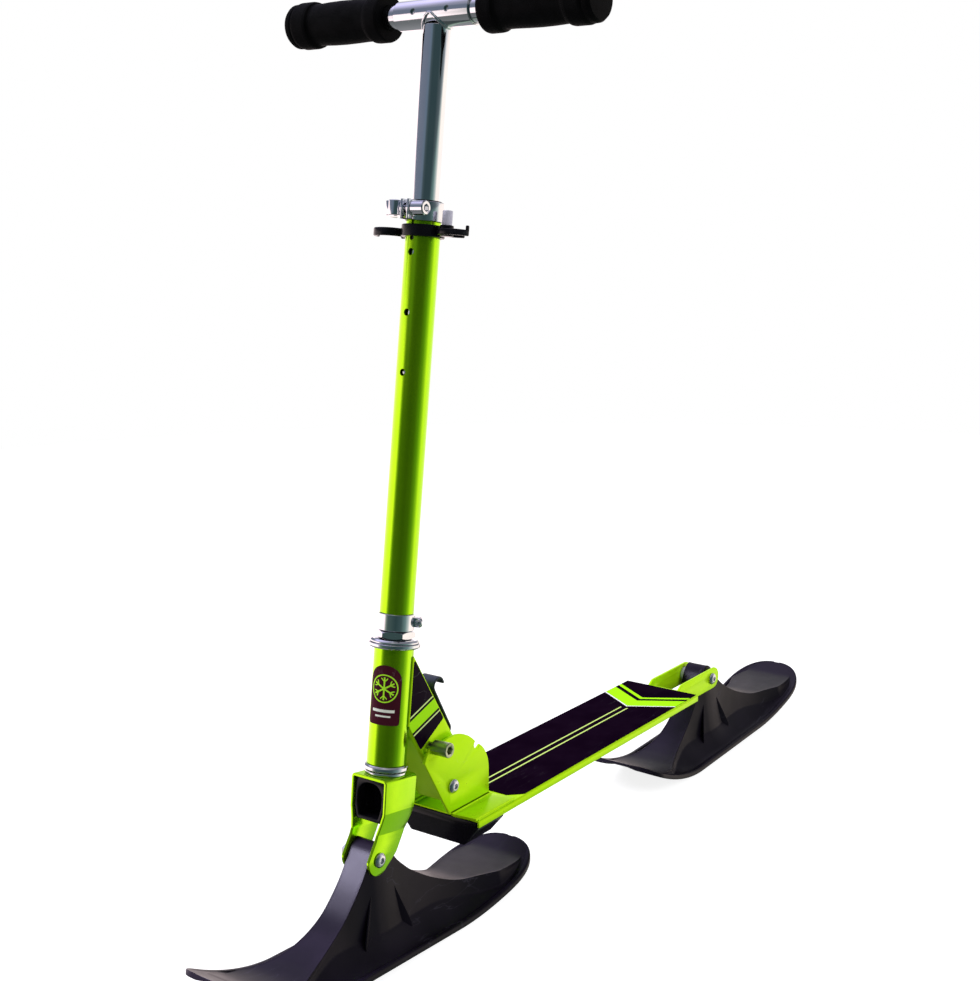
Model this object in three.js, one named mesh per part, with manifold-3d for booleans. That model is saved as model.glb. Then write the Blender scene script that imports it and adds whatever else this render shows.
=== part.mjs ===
// Folding snow scooter on two moulded skis. Millimetres, +Z up, front ski towards -Y,
// rider's left is +X. The origin is on the ground below the middle of the outer box.
import * as THREE from 'three';
import { mergeVertices } from 'three/addons/utils/BufferGeometryUtils.js';
import Module from 'manifold-3d';

const wasm = await Module();
wasm.setup();

// General values
const seatGap = 0.3;
const overrun = 3;
const mergeDistance = 0.00001;
const arcStep = Math.PI / 9;
const roundSteps = 24;
const boltSteps = 12;
const hexSides = 6;
const leastMitre = 0.5;
const quarterTurn = 90;

// Whole machine
const wheelbase = 638;
const standHeight = 18.8;
const pivotHeight = 76.2;
const axisSetback = 21.2;
const rake = THREE.MathUtils.degToRad(8.14);

// Ski, measured from its pivot bolt along Y and with its bolt at the pivot height along Z.
// The sole lies the drop below zero, and each ski is rocked on its bolt, front nose up, rear nose down.
const ski = {
  halfWidth: 51,
  noseReach: 190,
  tailReach: 234,
  noseCorner: 22,
  tailRound: 68,
  noseFlat: 95,
  tailFlat: 108,
  noseLift: 32,
  tailLift: 31.5,
  drop: 14,
  rock: THREE.MathUtils.degToRad(2.5),
  rimHeight: 6,
  rimWidth: 5.5,
  rimBevel: 1.2,
  floor: 4,
  plate: 5.4,
  crease: 9,
  wall: 2.8,
  ridgeHalf: 13.2,
  ridgeFlare: 24,
  flareNose: 130,
  flareTail: 172,
  footLean: 0.105,
  footStep: 1.5,
  towerTop: 13.8,
  bossDrop: 17,
  wallEase: 0.3,
  holeRadius: 4.3,
  ribThickness: 2,
  tailLiftPower: 1.8,
};
// Shares of the ski's half width and of its heights that shape a ring of its skin
const ringShares = {
  top: 0.72, foot: 0.82, rim: 0.11, bevel: 0.04, wallPlace: 0.75, wallDrop: 0.86, crestDrop: 0.1,
  under: 0.45, footWall: 0.4, nearEnd: 0.5, ribToe: 0.55,
};
const ridgeFrontShares = [
  [-0.684, 0.143], [-0.526, 0.172], [-0.421, 0.206], [-0.316, 0.27], [-0.237, 0.365],
  [-0.163, 0.52], [-0.105, 0.672], [-0.064, 0.822], [-0.031, 0.94],
];
const ridgeRearShares = [
  [0.0, 0.99], [0.025, 1.0], [0.055, 0.95], [0.089, 0.85], [0.128, 0.735], [0.171, 0.635],
  [0.213, 0.55], [0.282, 0.44], [0.351, 0.345], [0.445, 0.24], [0.522, 0.185], [0.62, 0.176],
  [0.735, 0.205],
];
const ridgeRows = 18;
const tailPower = 2.5;
const tailRows = 6;
const tailEndTurn = 87;
const noseRows = 4;
// Each rib: place along the ski and height at the tower, then place, side and height at its foot.
const ribShares = [
  [-0.028, 0.62, -0.221, 0.64],
  [0.077, 0.58, 0.138, 0.64],
];

// Ski bolts
const skiBolt = {
  radius: 4, headRadius: 7, headHeight: 3.4, rearHeadHeight: 4, crown: 0.45,
  nutFlats: 13, nutHeight: 6.5, socket: 5, socketDepth: 2,
};
const domeShares = { out: 0.72, outUp: 0.88, top: 0.4 };

// Fork crown, in the steering frame: forward is -Y, the axis is Z, zero is at pivot height
const fork = {
  halfWidth: 18.5,
  sheet: 3,
  bend: 4,
  top: 72,
  front: 23.7,
  rear: 20.5,
  joggleTop: 40,
  joggleBottom: 21,
  joggleIn: 1.8,
  endRadius: 14.7,
  corner: 5,
};
const legFrontShares = [[0.954, 0.5], [1.1, 0.235]];
// Half turns from the front of the leg's round end, and a last point behind it
const legEndTurns = [0.2, 0.4, 0.6];
const legHeelShares = [0.81, 0.59];
const legRearShares = [[0.16, 0.0], [0.62, 0.26], [0.95, 0.5], [1.0, 0.9]];

// Liner block between the fork legs
const liner = {
  bottom: 30, front: 21, rear: 17, archHalf: 11, archTop: 62, archDepth: 22, shoulder: 9, lowShare: 0.6,
};

// Head tube and its bearings, heights along the steering axis
const head = {
  outer: 18.55, wall: 2.5, bottom: 81.7, top: 191,
  raceBottom: 72.3, raceTop: 75.2, lowerCupRadius: 21,
  skirt: 9, cupWall: 1.2, ballSeat: 2.2,
  upperCupRadius: 24.5, upperFlange: 4.4, coneRadius: 23.2, coneTop: 199.2, bevel: 1.2,
  nutTop: 207, nutAcross: 33,
};
const bearing = { ball: 2, pitchRadius: 17.6, count: 10, ringHalf: 0.7, ringWide: 1.1 };
const label = { bottom: 120.5, top: 176, halfAngle: 50, turn: 18, thick: 0.45, archShare: 0.8 };

// Column tubes, heights along the steering axis
const steerer = { outer: 14.1, wall: 2, bottom: 69.3, top: 246 };
const sleeve = {
  outer: 17.2, bottom: 207.3, top: 222.6, slit: 1.6, lugReach: 24.5, lugHalf: 5, turn: 38,
  lugBottom: 210.5, lugTop: 219.5, screwRadius: 2, screwHead: 3.6, screwHeadHeight: 2.9, screwHalf: 8.5,
  screwPlace: 20.8, screwSocket: 3, screwSocketDepth: 1.6,
};
const column = {
  outer: 15.9, wall: 1.5, bottom: 222.9, top: 596,
  lowHole: 443.4, holePitch: 54.1, holeCount: 3, holeRadius: 3.2,
  reliefHole: 564.2, reliefRadius: 2.3, slit: 2.6,
};
const bush = { wall: 1.1, bottom: 557, flange: 2, flangeRadius: 15.7, slit: 3 };
const clamp = {
  wall: 2, bottom: 581.8, top: 597.1, slit: 3, earThick: 4.2, earReach: 29.5, skewerPlace: 23.2,
  skewerRadius: 2.5, washer: 2, nutRadius: 6.5, nutEnd: 20.5, nutSocket: 6, nutSocketDepth: 4,
};
const lever = {
  camRadius: 6.8, camPlace: 14.5, thick: 4, bottom: 582.6, top: 596.3,
  shares: [[1.0, -1.0], [1.62, -1.02], [2.2, -0.62], [2.55, -0.08], [2.66, 0.36]],
  taperShare: 0.35, taperPower: 4, spineSteps: 12,
};
const holder = {
  wall: 3.6, bottom: 565.7, top: 576.4, armBottom: 567.6, armTop: 573, hookRadius: 13, hookThick: 3.4,
  hookPlace: 34, hookBack: 3, tick: 4, tickThick: 3, bossRadius: 6.4, bossPlace: 29, bossFront: 3,
  pinRadius: 4.6, pinTop: 589.5, pinFoot: 4, hookSteps: 24,
};

// Handlebar
const bar = {
  stemOuter: 12.7, stemWall: 1.5, stemBelowButton: 26, height: 764.7,
  sleeveOuter: 13.3, sleeveWall: 1.8, sleeveHalf: 42,
  tubeWall: 1.5, tubeInner: 6, snapPlace: 19,
};
const grip = { start: 56, end: 171, bulge: 21.6, capWall: 2.4 };
const gripShares = [
  [0.0, 0.9], [0.02, 0.985], [0.06, 1.0], [0.12, 0.99], [0.155, 0.93], [0.19, 0.885], [0.45, 0.925],
  [0.69, 0.9], [0.735, 0.87], [0.77, 0.95], [0.81, 1.0], [0.88, 1.0], [0.915, 0.96], [0.93, 0.87],
  [0.985, 0.84], [1.0, 0.78],
];
const snap = {
  radius: 2.8, collarRadius: 4, collar: 1, stemLength: 6, gripRadius: 2.4, gripCollarRadius: 3.2,
  gripStem: 4.3, leaf: 0.8, leafHalf: 3.5, leafReach: 26, travelIn: 3,
};
const tipShares = { side: 0.4, out: 0.7, outDrop: 0.08 };

// Deck
const deck = {
  front: 106, rearGap: 88, top: 84.6, halfFront: 52, halfRear: 49.8, sheet: 2, strip: 7.3, bend: 1.6,
};
const decal = { front: 173, chamfer: 13, inset: 2.4, thick: 0.6, rearInset: 1 };
const beam = { half: 17, depth: 11, sheet: 2, front: 152, rearInset: 4 };
const cap = { front: 106.3, rear: 150, bottom: 55, endHeight: 74.5, half: 49.6, lowHalf: 33, wall: 3 };
// Rear fork, measured along Y from the rear ski's bolt
const rearFork = {
  inner: 18.4, sheet: 3, front: -168, stepFront: -85, stepRear: -75, top: 88.6, bottom: 62.4, low: 72.6,
  lowFront: -82, lowRear: -38, endRound: 12.8, end: 19, webFront: -82, webRear: -79.5,
  spacerOuter: 8.5,
};

// Hinge bracket; the angles count from straight up towards the rear, about the fold pivot
const hinge = {
  y: 99.4, z: 117, outer: 26, sheet: 3, bend: 3, footFront: 103, footRear: 168, footEdge: 50.6,
  plateFront: 94, plateRear: 158, edge: 50.2, highShare: 1.3,
  boltRadius: 4, headRadius: 7, headHeight: 4, nutFlats: 13, nutHeight: 6, washerRadius: 9,
};
const plateEdgeShares = [
  [-50, 1.09], [-42, 1.14], [-34, 1.17], [-27, 1.0], [-14, 1.0], [0, 1.0], [14, 1.0], [28, 1.0],
  [42, 1.0], [50, 1.0], [58.5, 1.06], [66, 1.11], [80, 1.165], [92, 1.175],
];
const lock = {
  angle: 29, radius: 4, seat: 49.5, lift: 5.4, over: 1.6, barrelRadius: 7.2, barrelEnd: 44,
  socket: 7, socketDepth: 5, slotSlack: 0.3, barrelSteps: 18,
};

// Folding arm: u runs up along the arm from the fold pivot, v runs rearwards across it
const arm = {
  lean: THREE.MathUtils.degToRad(31), half: 19, sheet: 2.5, front: 10.5, rear: 33, bottom: 18.5,
  frontCorner: 9, rearCorner: 13, heel: 2, bottomCorner: 12, bottomBack: 12,
  tubeCut: 5.5, decalStart: 61, decalThick: 0.45, decalInset: 1.2, bushRadius: 6.5,
};
const latch = {
  half: 10, thick: 2, wrap: 2, startShare: 0.8, run: 41.5, low: 27, high: 92, tabReach: 15, tabDrop: 11,
  tabCorner: 5, bend: 4,
};

// Values that follow from the ones above
const frontToMiddle = (wheelbase + ski.tailReach - ski.noseReach) / 2;
const towerHeight = pivotHeight + ski.towerTop;
const deckRear = wheelbase - deck.rearGap;
const armReach = (hinge.y - axisSetback) * 2;
const boltBack = -axisSetback * Math.cos(rake);
const boltUp = -axisSetback * Math.sin(rake);
const legHalf = fork.halfWidth - fork.joggleIn;
const boreOuter = column.outer - column.wall;
const tubeOuter = bar.sleeveOuter - bar.sleeveWall - seatGap;
const stemInner = bar.stemOuter - bar.stemWall;
const unitX = new THREE.Vector3(1, 0, 0);
const unitY = new THREE.Vector3(0, 1, 0);
const unitZ = new THREE.Vector3(0, 0, 1);

// Makes a solid from a closed geometry, its faces outwards.
function solidOf(geometry) {
  const bare = geometry.clone();
  bare.deleteAttribute('normal');
  bare.deleteAttribute('uv');
  const merged = mergeVertices(bare, mergeDistance);
  const points = merged.attributes.position.array;
  const index = merged.index.array;
  const kept = [];
  let volume = 0;
  const [a, b, c] = [new THREE.Vector3(), new THREE.Vector3(), new THREE.Vector3()];
  for (let i = 0; i < index.length; i += 3) {
    const [p, q, r] = [index[i], index[i + 1], index[i + 2]];
    if (p === q || q === r || r === p) continue;
    kept.push(p, q, r);
    a.fromArray(points, p * 3);
    b.fromArray(points, q * 3);
    c.fromArray(points, r * 3);
    volume += a.dot(b.cross(c));
  }
  if (volume < 0) kept.reverse();
  return new wasm.Manifold(new wasm.Mesh({
    numProp: 3,
    vertProperties: new Float32Array(points),
    triVerts: new Uint32Array(kept),
  }));
}

function geometryOf(solid) {
  const mesh = solid.getMesh();
  const geometry = new THREE.BufferGeometry();
  geometry.setAttribute('position', new THREE.BufferAttribute(new Float32Array(mesh.vertProperties), 3));
  geometry.setIndex(new THREE.BufferAttribute(new Uint32Array(mesh.triVerts), 1));
  geometry.computeVertexNormals();
  return geometry;
}

function join(solids) {
  return solids.reduce((sum, solid) => sum.add(solid));
}

function cut(solid, tools) {
  return tools.reduce((rest, tool) => rest.subtract(tool), solid);
}

// Moves a geometry into place by a matrix.
function placed(geometry, matrix) {
  geometry.applyMatrix4(matrix);
  return geometry;
}

function block(x0, x1, y0, y1, z0, z1) {
  const geometry = new THREE.BoxGeometry(x1 - x0, y1 - y0, z1 - z0);
  geometry.translate((x0 + x1) / 2, (y0 + y1) / 2, (z0 + z1) / 2);
  return solidOf(geometry);
}

// The points of a path whose corners [x, y, radius] are rounded by arcs.
function roundedPath(corners, closed) {
  const points = [];
  const count = corners.length;
  corners.forEach(([x, y, radius = 0], index) => {
    const here = new THREE.Vector2(x, y);
    const atEnd = !closed && (index === 0 || index === count - 1);
    if (radius === 0 || atEnd) {
      points.push(here);
      return;
    }
    const [beforeX, beforeY] = corners[(index + count - 1) % count];
    const [afterX, afterY] = corners[(index + 1) % count];
    const back = new THREE.Vector2(beforeX - x, beforeY - y).normalize();
    const ahead = new THREE.Vector2(afterX - x, afterY - y).normalize();
    const half = Math.acos(THREE.MathUtils.clamp(back.dot(ahead), -1, 1)) / 2;
    const middle = back.clone().add(ahead).normalize().multiplyScalar(radius / Math.sin(half)).add(here);
    const from = here.clone().addScaledVector(back, radius / Math.tan(half)).sub(middle);
    const turn = Math.PI - 2 * half;
    const side = Math.sign(ahead.clone().cross(back));
    const steps = Math.max(1, Math.ceil(turn / arcStep));
    for (let k = 0; k <= steps; k += 1) {
      points.push(from.clone().rotateAround(new THREE.Vector2(), (side * turn * k) / steps).add(middle));
    }
  });
  return points;
}

// A closed outline with rounded corners.
function outline(corners) {
  return new THREE.Shape(roundedPath(corners, true));
}

// The outline of a strip of even thickness along an open path with rounded corners.
function ribbon(corners, thick) {
  const path = roundedPath(corners, false);
  const left = [];
  const right = [];
  path.forEach((point, index) => {
    const before = path[Math.max(0, index - 1)];
    const after = path[Math.min(path.length - 1, index + 1)];
    const one = (index > 0 ? point.clone().sub(before) : after.clone().sub(point)).normalize();
    const two = (index < path.length - 1 ? after.clone().sub(point) : one.clone()).normalize();
    const mitre = new THREE.Vector2(-one.y - two.y, one.x + two.x).normalize();
    const reach = thick / 2 / Math.max(leastMitre, mitre.dot(new THREE.Vector2(-one.y, one.x)));
    left.push(point.clone().addScaledVector(mitre, reach));
    right.push(point.clone().addScaledVector(mitre, -reach));
  });
  return new THREE.Shape([...left, ...right.reverse()]);
}

function extruded(shape, from, to, matrix) {
  const geometry = new THREE.ExtrudeGeometry(shape, { depth: to - from, bevelEnabled: false });
  geometry.translate(0, 0, from);
  return solidOf(placed(geometry, matrix));
}

// Extrudes an outline drawn in (y, z) along X, one drawn in (x, z) along Y, one in (x, y) along Z.
function alongX(shape, from, to) {
  return extruded(shape, from, to, new THREE.Matrix4().makeBasis(unitY, unitZ, unitX));
}

function alongY(shape, from, to) {
  return extruded(shape, -to, -from, new THREE.Matrix4().makeBasis(unitX, unitZ, unitY.clone().negate()));
}

function alongZ(shape, from, to) {
  return extruded(shape, from, to, new THREE.Matrix4());
}

// A turned solid about Z from a profile of [radius, height] points.
function turned(profile, steps = roundSteps) {
  const closed = [...profile, profile[0]].map(([radius, height]) => new THREE.Vector2(radius, height));
  return solidOf(new THREE.LatheGeometry(closed, steps).rotateX(Math.PI / 2));
}

function rod(radius, from, to, steps = boltSteps) {
  return turned([[0, from], [radius, from], [radius, to], [0, to]], steps);
}

function pipe(outer, inner, from, to, steps = roundSteps) {
  return turned([[inner, from], [outer, from], [outer, to], [inner, to]], steps);
}

// Lays a solid that was made about Z along X, through the point (y, z).
function layX(solid, y = 0, z = 0) {
  return solid.rotate([0, quarterTurn, 0]).translate([0, y, z]);
}

// Lays a solid that was made about Z along -Y, through the point (x, z).
function layForward(solid, x = 0, z = 0) {
  return solid.rotate([quarterTurn, 0, 0]).translate([x, 0, z]);
}

function hexRadius(flats) {
  return flats / 2 / Math.cos(Math.PI / hexSides);
}

// A bolt along Z with a domed head that has a hexagon socket; the head sits on the plane z = seat.
function boltSolid(radius, from, seat, headRadius, headHeight, socket, socketDepth) {
  const domed = turned([
    [0, from], [radius, from], [radius, seat], [headRadius, seat],
    [headRadius, seat + headHeight * skiBolt.crown],
    [headRadius * domeShares.out, seat + headHeight * domeShares.outUp],
    [headRadius * domeShares.top, seat + headHeight], [0, seat + headHeight],
  ], boltSteps);
  const key = rod(hexRadius(socket), seat + headHeight - socketDepth, seat + headHeight + overrun, hexSides);
  return domed.subtract(key);
}

function nutSolid(flats, bore, from, to, steps = boltSteps) {
  return rod(hexRadius(flats), from, to, hexSides).subtract(rod(bore, from - overrun, to + overrun, steps));
}

// Ski shape
function smooth(value) {
  const t = THREE.MathUtils.clamp(value, 0, 1);
  return t * t * (3 - 2 * t);
}

// Height of the sole: flat in the middle, lifted at the nose and more at the tail.
function soleHeight(y) {
  const tail = Math.max(0, y - ski.tailFlat) / (ski.tailReach - ski.tailFlat);
  const nose = Math.max(0, -ski.noseFlat - y) / (ski.noseReach - ski.noseFlat);
  return ski.tailLift * tail ** ski.tailLiftPower + ski.noseLift * nose ** 2 - ski.drop;
}

// The rows of the ski: place, half width and height of the ridge's top.
function skiRows() {
  const rows = [];
  for (let k = 0; k < noseRows; k += 1) {
    const angle = (Math.PI / 2) * (1 - k / noseRows);
    const y = -ski.noseReach + ski.noseCorner * (1 - Math.sin(angle));
    rows.push([y, ski.halfWidth - ski.noseCorner * (1 - Math.cos(angle)), soleHeight(y) + ski.plate]);
  }
  const curve = new THREE.SplineCurve([
    ...ridgeFrontShares.map(([along, up]) => new THREE.Vector2(along * ski.noseReach, up * towerHeight)),
    ...ridgeRearShares.map(([along, up]) => new THREE.Vector2(along * ski.tailReach, up * towerHeight)),
  ]);
  const tailStart = ski.tailReach - ski.tailRound;
  const widthAt = (y) => {
    const past = THREE.MathUtils.clamp((y - tailStart) / ski.tailRound, 0, 1);
    return ski.halfWidth * (1 - past ** tailPower) ** (1 / tailPower);
  };
  curve.getPoints(ridgeRows).forEach(({ x: y, y: z }) => {
    rows.push([y, widthAt(y), Math.max(z, soleHeight(y) + ski.plate)]);
  });
  const start = rows[rows.length - 1][0];
  const startAngle = Math.asin(((start - tailStart) / ski.tailRound) ** (tailPower / 2));
  for (let k = 1; k <= tailRows; k += 1) {
    const angle = startAngle + (THREE.MathUtils.degToRad(tailEndTurn) - startAngle) * (k / tailRows);
    const y = tailStart + ski.tailRound * Math.sin(angle) ** (2 / tailPower);
    rows.push([y, ski.halfWidth * Math.cos(angle) ** (2 / tailPower), soleHeight(y) + ski.plate]);
  }
  return rows;
}

// One ring of the ski's skin at a row: the top from the left rim to the right, then the sole back.
function skiRing([y, half, ridge]) {
  const sole = soleHeight(y);
  const reach = y < 0 ? ski.flareNose : ski.flareTail;
  const flare = Math.min(1, Math.abs(y) / reach) ** 3 * ski.ridgeFlare;
  const top = Math.min(ski.ridgeHalf + flare, half * ringShares.top);
  const low = sole + ski.plate;
  const foot = Math.min(top + ski.footStep + ski.footLean * (ridge - low), half * ringShares.foot);
  const nearEnd = smooth((Math.abs(y) / reach - ringShares.nearEnd) / (1 - ringShares.nearEnd));
  const crease = sole + THREE.MathUtils.lerp(ski.crease, ski.plate, nearEnd);
  const past = smooth((Math.abs(y) - reach) / ski.noseCorner);
  const floor = sole + THREE.MathUtils.lerp(ski.floor, ski.plate, past);
  const crest = Math.max(ridge, crease);
  const dropped = THREE.MathUtils.lerp(crest, crease, ringShares.crestDrop);
  const shoulder = Math.min(pivotHeight - ski.bossDrop, dropped);
  const rimIn = half - Math.min(ski.rimWidth, half * ringShares.rim);
  const rimTop = sole + ski.rimHeight;
  const bevel = Math.min(ski.rimBevel, half * ringShares.bevel);
  const wallFoot = THREE.MathUtils.lerp(top, foot, ringShares.wallPlace);
  const above = [
    [half, sole + ski.rimHeight - bevel], [half - bevel, rimTop], [rimIn + bevel, rimTop], [rimIn, floor],
    [(foot + rimIn) / 2, (crease + floor) / 2], [foot, crease],
    [wallFoot, THREE.MathUtils.lerp(shoulder, crease, ringShares.wallDrop)],
    [top + ski.wallEase, shoulder], [top, crest],
  ];
  const inner = Math.max(Math.min(crest - ski.wall, pivotHeight - ski.bossDrop), sole + ski.floor / 2);
  const under = sole + (crease - sole) * ringShares.under;
  const soleLow = Math.min(under, inner);
  const below = [
    [half, sole + bevel], [half - bevel, sole], [rimIn + bevel, sole], [rimIn, sole],
    [(foot + rimIn) / 2, sole], [foot - ski.wall * ringShares.footWall, soleLow],
    [wallFoot - ski.wall, THREE.MathUtils.lerp(inner, soleLow, ringShares.wallDrop)],
    [top - ski.wall + ski.wallEase, THREE.MathUtils.lerp(inner, soleLow, ringShares.crestDrop)],
    [top - ski.wall, inner],
  ];
  const ring = [];
  above.forEach(([x, z]) => ring.push([-x, y, z]));
  ring.push([0, y, crest]);
  [...above].reverse().forEach(([x, z]) => ring.push([x, y, z]));
  below.forEach(([x, z]) => ring.push([x, y, z]));
  ring.push([0, y, inner]);
  [...below].reverse().forEach(([x, z]) => ring.push([-x, y, z]));
  return ring;
}

// Joins rings of equal length into a closed skin; each end is closed by a strip across the ring.
function loft(rings) {
  const count = rings[0].length;
  const faces = [];
  for (let row = 0; row + 1 < rings.length; row += 1) {
    for (let k = 0; k < count; k += 1) {
      const next = (k + 1) % count;
      const [a, b] = [row * count + k, row * count + next];
      const [c, d] = [a + count, b + count];
      faces.push(a, c, b, b, c, d);
    }
  }
  const last = (rings.length - 1) * count;
  for (let k = 0; k < count / 2 - 1; k += 1) {
    const [a, b] = [k, k + 1];
    const [c, d] = [count - 2 - k, count - 1 - k];
    faces.push(a, b, c, a, c, d);
    faces.push(last + a, last + c, last + b, last + a, last + d, last + c);
  }
  const geometry = new THREE.BufferGeometry();
  geometry.setAttribute('position', new THREE.Float32BufferAttribute(rings.flat(2), 3));
  geometry.setIndex(faces);
  return solidOf(geometry);
}

// A thin upright rib from the tower's wall down to the ski's floor, on the side given by sign.
function skiRib([topAlong, topUp, footAlong, footOut], sign) {
  const lowZ = ski.crease - ski.wall - ski.drop;
  const from = new THREE.Vector2(ski.ridgeHalf - ski.wall / 2, topAlong * ski.tailReach);
  const to = new THREE.Vector2(footOut * ski.halfWidth, footAlong * ski.noseReach);
  const length = from.distanceTo(to);
  const toeOut = ski.footStep + ski.footLean * towerHeight * ringShares.ribToe;
  const toe = (toeOut * length) / (to.x - from.x);
  const shape = new THREE.Shape([
    new THREE.Vector2(0, topUp * towerHeight), new THREE.Vector2(toe, lowZ),
    new THREE.Vector2(length, lowZ), new THREE.Vector2(length, lowZ + ski.rimBevel),
  ]);
  const angle = Math.atan2(to.y - from.y, to.x - from.x);
  const blade = extruded(shape, -ski.ribThickness / 2, ski.ribThickness / 2,
    new THREE.Matrix4().makeRotationX(Math.PI / 2));
  const rib = blade.rotate([0, 0, THREE.MathUtils.radToDeg(angle)]).translate([from.x, from.y, 0]);
  return sign < 0 ? rib.mirror([1, 0, 0]) : rib;
}

// A ski turned about its bolt by the angle, which is negative for nose up.
function makeSki(turn) {
  const skin = loft(skiRows().map(skiRing));
  const ribs = ribShares.flatMap((shares) => [skiRib(shares, 1), skiRib(shares, -1)]);
  const half = ski.ridgeHalf + ski.ridgeFlare;
  const hole = layX(rod(ski.holeRadius, -half, half), 0, pivotHeight);
  return join([skin, ...ribs]).subtract(hole).translate([0, 0, -pivotHeight])
    .rotate([THREE.MathUtils.radToDeg(turn), 0, 0]).translate([0, 0, pivotHeight]);
}

// Fork crown: a bent strip seen from the front, trimmed to the leg's outline seen from the side
function makeFork() {
  const bottom = boltUp - fork.endRadius - overrun;
  const side = (inset, top) => [
    [legHalf - inset, bottom], [legHalf - inset, fork.joggleBottom, fork.bend],
    [fork.halfWidth - inset, fork.joggleTop, fork.bend], [fork.halfWidth - inset, top, fork.bend],
  ];
  const mirrored = (points) => [...points].reverse().map(([x, z, r]) => [-x, z, r]);
  const outer = side(0, fork.top);
  const inner = side(fork.sheet, fork.top - fork.sheet);
  const strip = alongY(outline([...outer, ...mirrored(outer)]), -fork.front - fork.endRadius, fork.rear)
    .subtract(alongY(outline([
      ...inner.map(([x, z, r = 0]) => [x, z === bottom ? z - overrun : z, r / 2]),
      ...mirrored(inner).map(([x, z, r = 0]) => [x, z === bottom ? z - overrun : z, r / 2]),
    ]), -fork.front - fork.endRadius - overrun, fork.rear + overrun));
  const leg = alongX(outline([
    [-fork.front, fork.top, 0],
    ...legFrontShares.map(([back, up]) => [-fork.front * back, fork.top * up, fork.corner]),
    [boltBack - fork.endRadius, boltUp, 0],
    ...legEndTurns.map((turn) => [
      boltBack - fork.endRadius * Math.cos(Math.PI * turn),
      boltUp - fork.endRadius * Math.sin(Math.PI * turn), 0,
    ]),
    [boltBack + fork.endRadius * legHeelShares[0], boltUp - fork.endRadius * legHeelShares[1], 0],
    ...legRearShares.map(([back, up]) => [fork.rear * back, fork.top * up, fork.corner]),
    [fork.rear, fork.top, 0],
  ]), -fork.halfWidth - overrun, fork.halfWidth + overrun);
  const far = fork.halfWidth * 2;
  const boltHole = layX(rod(skiBolt.radius + seatGap, -far, far), boltBack, boltUp);
  const tubeHole = rod(steerer.outer + seatGap, fork.joggleTop, fork.top + overrun, roundSteps);
  return cut(strip.intersect(leg), [boltHole, tubeHole]);
}

function makeLiner() {
  const gap = fork.sheet + seatGap;
  const top = fork.top - fork.sheet - seatGap;
  const low = fork.halfWidth - gap - fork.joggleIn * liner.lowShare;
  const wide = fork.halfWidth - gap;
  const body = alongY(outline([
    [low, liner.bottom], [wide, fork.joggleTop], [wide, top - fork.bend / 2], [wide - fork.bend / 2, top],
    [-wide + fork.bend / 2, top], [-wide, top - fork.bend / 2], [-wide, fork.joggleTop], [-low, liner.bottom],
  ]), -liner.front, liner.rear);
  const arch = alongY(outline([
    [liner.archHalf, liner.bottom - overrun], [liner.archHalf, liner.archTop, liner.shoulder],
    [-liner.archHalf, liner.archTop, liner.shoulder], [-liner.archHalf, liner.bottom - overrun],
  ]), -liner.front - overrun, -liner.front + liner.archDepth);
  return body.subtract(arch);
}

// A bearing: balls in a flat cage ring around the steering axis
function makeBearing(middle) {
  const cage = pipe(bearing.pitchRadius + bearing.ringWide, bearing.pitchRadius - bearing.ringWide,
    middle - bearing.ringHalf, middle + bearing.ringHalf, bearing.count * 2);
  const balls = [];
  for (let k = 0; k < bearing.count; k += 1) {
    const angle = (2 * Math.PI * k) / bearing.count;
    const ball = new THREE.IcosahedronGeometry(bearing.ball, 0);
    ball.translate(bearing.pitchRadius * Math.cos(angle), bearing.pitchRadius * Math.sin(angle), middle);
    balls.push(solidOf(ball));
  }
  return join([cage, ...balls]);
}

const skirtOuter = head.outer - head.wall - seatGap;
const skirtInner = skirtOuter - head.cupWall;
const ballOuter = bearing.pitchRadius + bearing.ball + seatGap;
const lowerBallMiddle = head.raceTop + seatGap + bearing.ball;
const upperBallMiddle = head.top + seatGap + head.ballSeat + bearing.ball;

function makeLowerCup() {
  const seat = head.bottom - seatGap;
  const lip = lowerBallMiddle - bearing.ball / 2;
  return turned([
    [skirtOuter, seat], [skirtOuter, seat + head.skirt], [skirtInner, seat + head.skirt],
    [skirtInner, lowerBallMiddle + bearing.ball + seatGap],
    [ballOuter, lowerBallMiddle + bearing.ball + seatGap], [ballOuter, lip],
    [head.lowerCupRadius, lip], [head.lowerCupRadius, seat - head.bevel],
    [head.lowerCupRadius - head.bevel, seat],
  ]);
}

function makeUpperCup() {
  const seat = head.top + seatGap;
  return turned([
    [skirtInner, seat - head.skirt], [skirtOuter, seat - head.skirt], [skirtOuter, seat],
    [head.upperCupRadius - head.bevel, seat], [head.upperCupRadius, seat + head.bevel],
    [head.upperCupRadius, seat + head.upperFlange], [ballOuter, seat + head.upperFlange],
    [ballOuter, seat + head.ballSeat - seatGap], [skirtInner, seat + head.ballSeat - seatGap],
  ]);
}

function makeUpperCone() {
  const low = head.top + seatGap + head.upperFlange + seatGap;
  const tip = upperBallMiddle + bearing.ball + seatGap;
  return turned([
    [steerer.outer + seatGap, tip], [ballOuter + seatGap, tip], [ballOuter + seatGap, low],
    [head.coneRadius, low], [head.coneRadius - head.bevel, head.coneTop],
    [steerer.outer + seatGap, head.coneTop],
  ]);
}

function makeLabel() {
  const inner = head.outer + seatGap / 3;
  const shell = pipe(inner + label.thick, inner, label.bottom - overrun, label.top + overrun, roundSteps * 2);
  const half = inner * Math.sin(THREE.MathUtils.degToRad(label.halfAngle));
  const round = half * label.archShare;
  const arch = alongY(outline([
    [half, label.bottom, overrun], [half, label.top, round], [-half, label.top, round],
    [-half, label.bottom, overrun],
  ]), -head.outer * 2, 0);
  return shell.intersect(arch).rotate([0, 0, label.turn]);
}

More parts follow.
